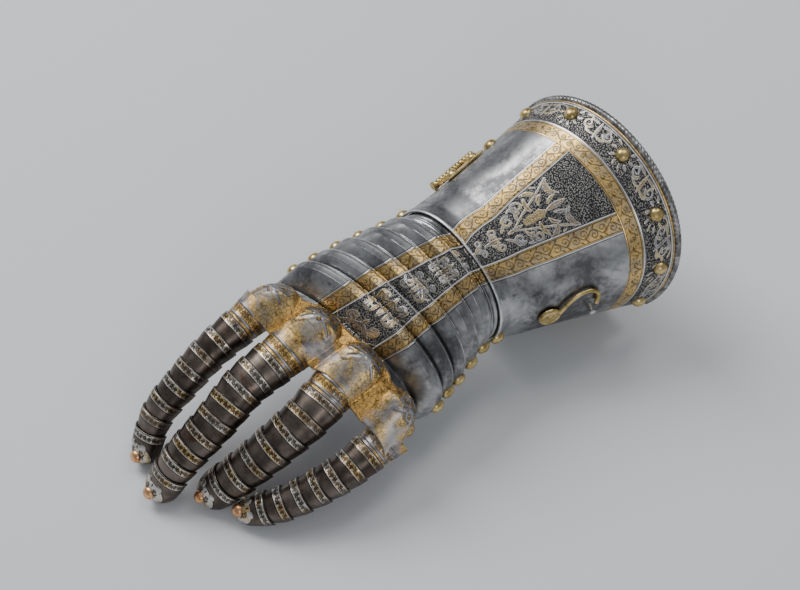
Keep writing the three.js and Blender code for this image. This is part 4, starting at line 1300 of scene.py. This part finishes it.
thickness = np.interp(np.linspace(0, 1, len(centres)), [0, 0.08, 0.5, 0.85, 1], [1.5, 1.25, 1.15, 1.2, 1.45])
arm = rod("hook_arm", softenedPath(centres), thickness, 16)
place(joined("pivot_hook_brass", [disc, pin, arm]), brass, "pivot_hook", "pivot_hook", slot="brass")
spot, normal = onCuff(stud["v"], stud["angle"], -innerCuff["layer"])
r = stud["radius"]
pillar = turned("stud", [(0, 7.3), (r * 0.55, 7.25), (r * 0.9, 6.8), (r, 6.2), (r * 0.72, 5.4),
                         (r * 0.8, 3.0), (r, 1.6), (r, -1.2), (0, -1.2)], spot, normal, 28)
place(pillar, silverSteel, "cuff_inner", slot="steel")
print("hook made")

# the hinge
hinge = {"span": (0.215, 0.55), "angle": -89, "off": 2.9, "radius": 2.3}
ends = [cuffPoint(v, hinge["angle"], hinge["off"]) for v in hinge["span"]]
axis, length = unit(ends[1] - ends[0]), np.linalg.norm(ends[1] - ends[0])


def barrelPiece(name, start, end, reeds):
    a, b = start * length, end * length
    r = hinge["radius"]
    profile = [(0, a), (r * 0.85, a)]
    for i in range(reeds):
        here, step = a + (b - a) * i / reeds, (b - a) / reeds
        reed = [(0.86, 0.08), (1.0, 0.3), (1.02, 0.55), (0.9, 0.92)]
        profile += [(r * wide, here + step * far) for wide, far in reed]
    profile += [(r * 0.85, b), (0, b)]
    return turned(name, profile, ends[0], axis, 24, 30)


def hingeLeaf(name, columns, vFrom, vTo, thick):
    v = np.linspace(hinge["span"][0] + (hinge["span"][1] - hinge["span"][0]) * vFrom,
                    hinge["span"][0] + (hinge["span"][1] - hinge["span"][0]) * vTo, 24)
    a = np.linspace(0, 1, 14)
    angle, off = np.interp(a, np.linspace(0, 1, len(columns)), [c[0] for c in columns]), softened(
        np.interp(a, np.linspace(0, 1, len(columns)), [c[1] for c in columns]), 2)
    lower = off - thick
    outer = cuffPoint(v[:, None], angle[None, :], off[None, :])
    inner = cuffPoint(v[:, None], angle[None, :], lower[None, :])
    return plateFromGrids(name, outer, inner, None, gridLengths(outer, 0), 0.25)


parts = [hingeLeaf("leaf", [(-84, 1.6), (-79, 1.75), (-74, 1.5)], 0.08, 0.92, 1.1)]
for a, b in ((0.02, 0.32), (0.68, 0.98)):
    parts.append(hingeLeaf("tab", [(-89.5, 3.6), (-87.5, 3), (-85.5, 1.9), (-83, 1.6)], a, b, 1.2))
parts += [barrelPiece("barrel", 0, 0.33, 4), barrelPiece("barrel", 0.67, 1, 4)]
parts.append(turned("pin", [(0, 0), (1.1, 0), (1.1, length), (0, length)], ends[0], axis, 16))
boss = [(0, -1.7), (1.6, -1.6), (2.5, -1.2), (2.9, -0.5), (2.6, 0.1), (2.3, 0.3), (0, 0.3)]
parts.append(turned("boss", boss, ends[0], axis, 24))
for t in (0.25, 0.75):
    v = hinge["span"][0] + (hinge["span"][1] - hinge["span"][0]) * t
    spot, normal = onCuff(v, -79, 1.4)
    parts.append(domeRivet("dome", spot, normal, 3.4, 2.5))
place(joined("hinge_brass_upper", parts), brass, "cuff_outer", "hinge_upper", slot="brass")
lower = [hingeLeaf("leaf", [(-96.5, -0.3), (-101, -0.3), (-106, -0.3)], 0.08, 0.92, 1.1),
         hingeLeaf("tab", [(-88.5, 3.6), (-91.5, 2.2), (-94, 0.2), (-97, -0.3)], 0.37, 0.63, 1.2),
         barrelPiece("barrel", 0.35, 0.65, 4)]
place(joined("hinge_brass_lower", lower), brass, "cuff_inner", "hinge_lower", slot="brass")
print("hinge made")

# the stage
stage = {"floor": (0.77, 0.785, 0.8), "target": (0, 0, 0.042), "azimuth": 51, "height": 57, "distance": 1.3,
         "millimetresPerPixel": 0.53}
bpy.ops.object.select_all(action="DESELECT")
bpy.ops.mesh.primitive_plane_add(size=12, location=(0, 0, cadBox[0][2] - 0.0003))
floor = bpy.context.object
floor.name = "studio_floor"
g = Graph("studio paper")
floor.data.materials.append(g.finish(stage["floor"], 0.9, 0.0))
g.shader.inputs["Specular IOR Level"].default_value = 0.15

target = Vector((0, 0, stage["target"][2])) + Vector(shift * mm)
around, above = rad(stage["azimuth"]), rad(stage["height"])
back = Vector((math.sin(around) * math.cos(above), -math.cos(around) * math.cos(above), math.sin(above)))
bpy.ops.object.camera_add(location=target + back * stage["distance"])
camera = bpy.context.object
camera.rotation_euler = back.to_track_quat("Z", "Y").to_euler()
camera.data.sensor_width = 36
camera.data.lens = 36 * stage["distance"] / (800 * stage["millimetresPerPixel"] * mm)
bpy.context.scene.camera = camera
right = Vector((math.cos(around), math.sin(around), 0))
up = back.cross(right)


def areaLight(name, spot, size, power, sizeY=None):
    bpy.ops.object.light_add(type="AREA", location=spot)
    lamp = bpy.context.object
    lamp.name = name
    lamp.data.energy = power
    lamp.data.shape = "RECTANGLE"
    lamp.data.size = size
    lamp.data.size_y = sizeY or size
    lamp.rotation_euler = (Vector(spot) - Vector((0, 0, 0.05))).to_track_quat("Z", "Y").to_euler()
    return lamp


areaLight("key", (-1.3, -0.15, 1.5), 0.8, 26, 1.2)
areaLight("top", (-0.2, 0.9, 1.9), 0.5, 9, 1.4)
areaLight("fill", (1.5, -0.9, 1.1), 0.7, 5)
world = bpy.data.worlds.new("studio air")
world.use_nodes = True
world.node_tree.nodes["Background"].inputs[0].default_value = (0.72, 0.75, 0.8, 1)
world.node_tree.nodes["Background"].inputs[1].default_value = 0.42
bpy.context.scene.world = world

print("stage set")
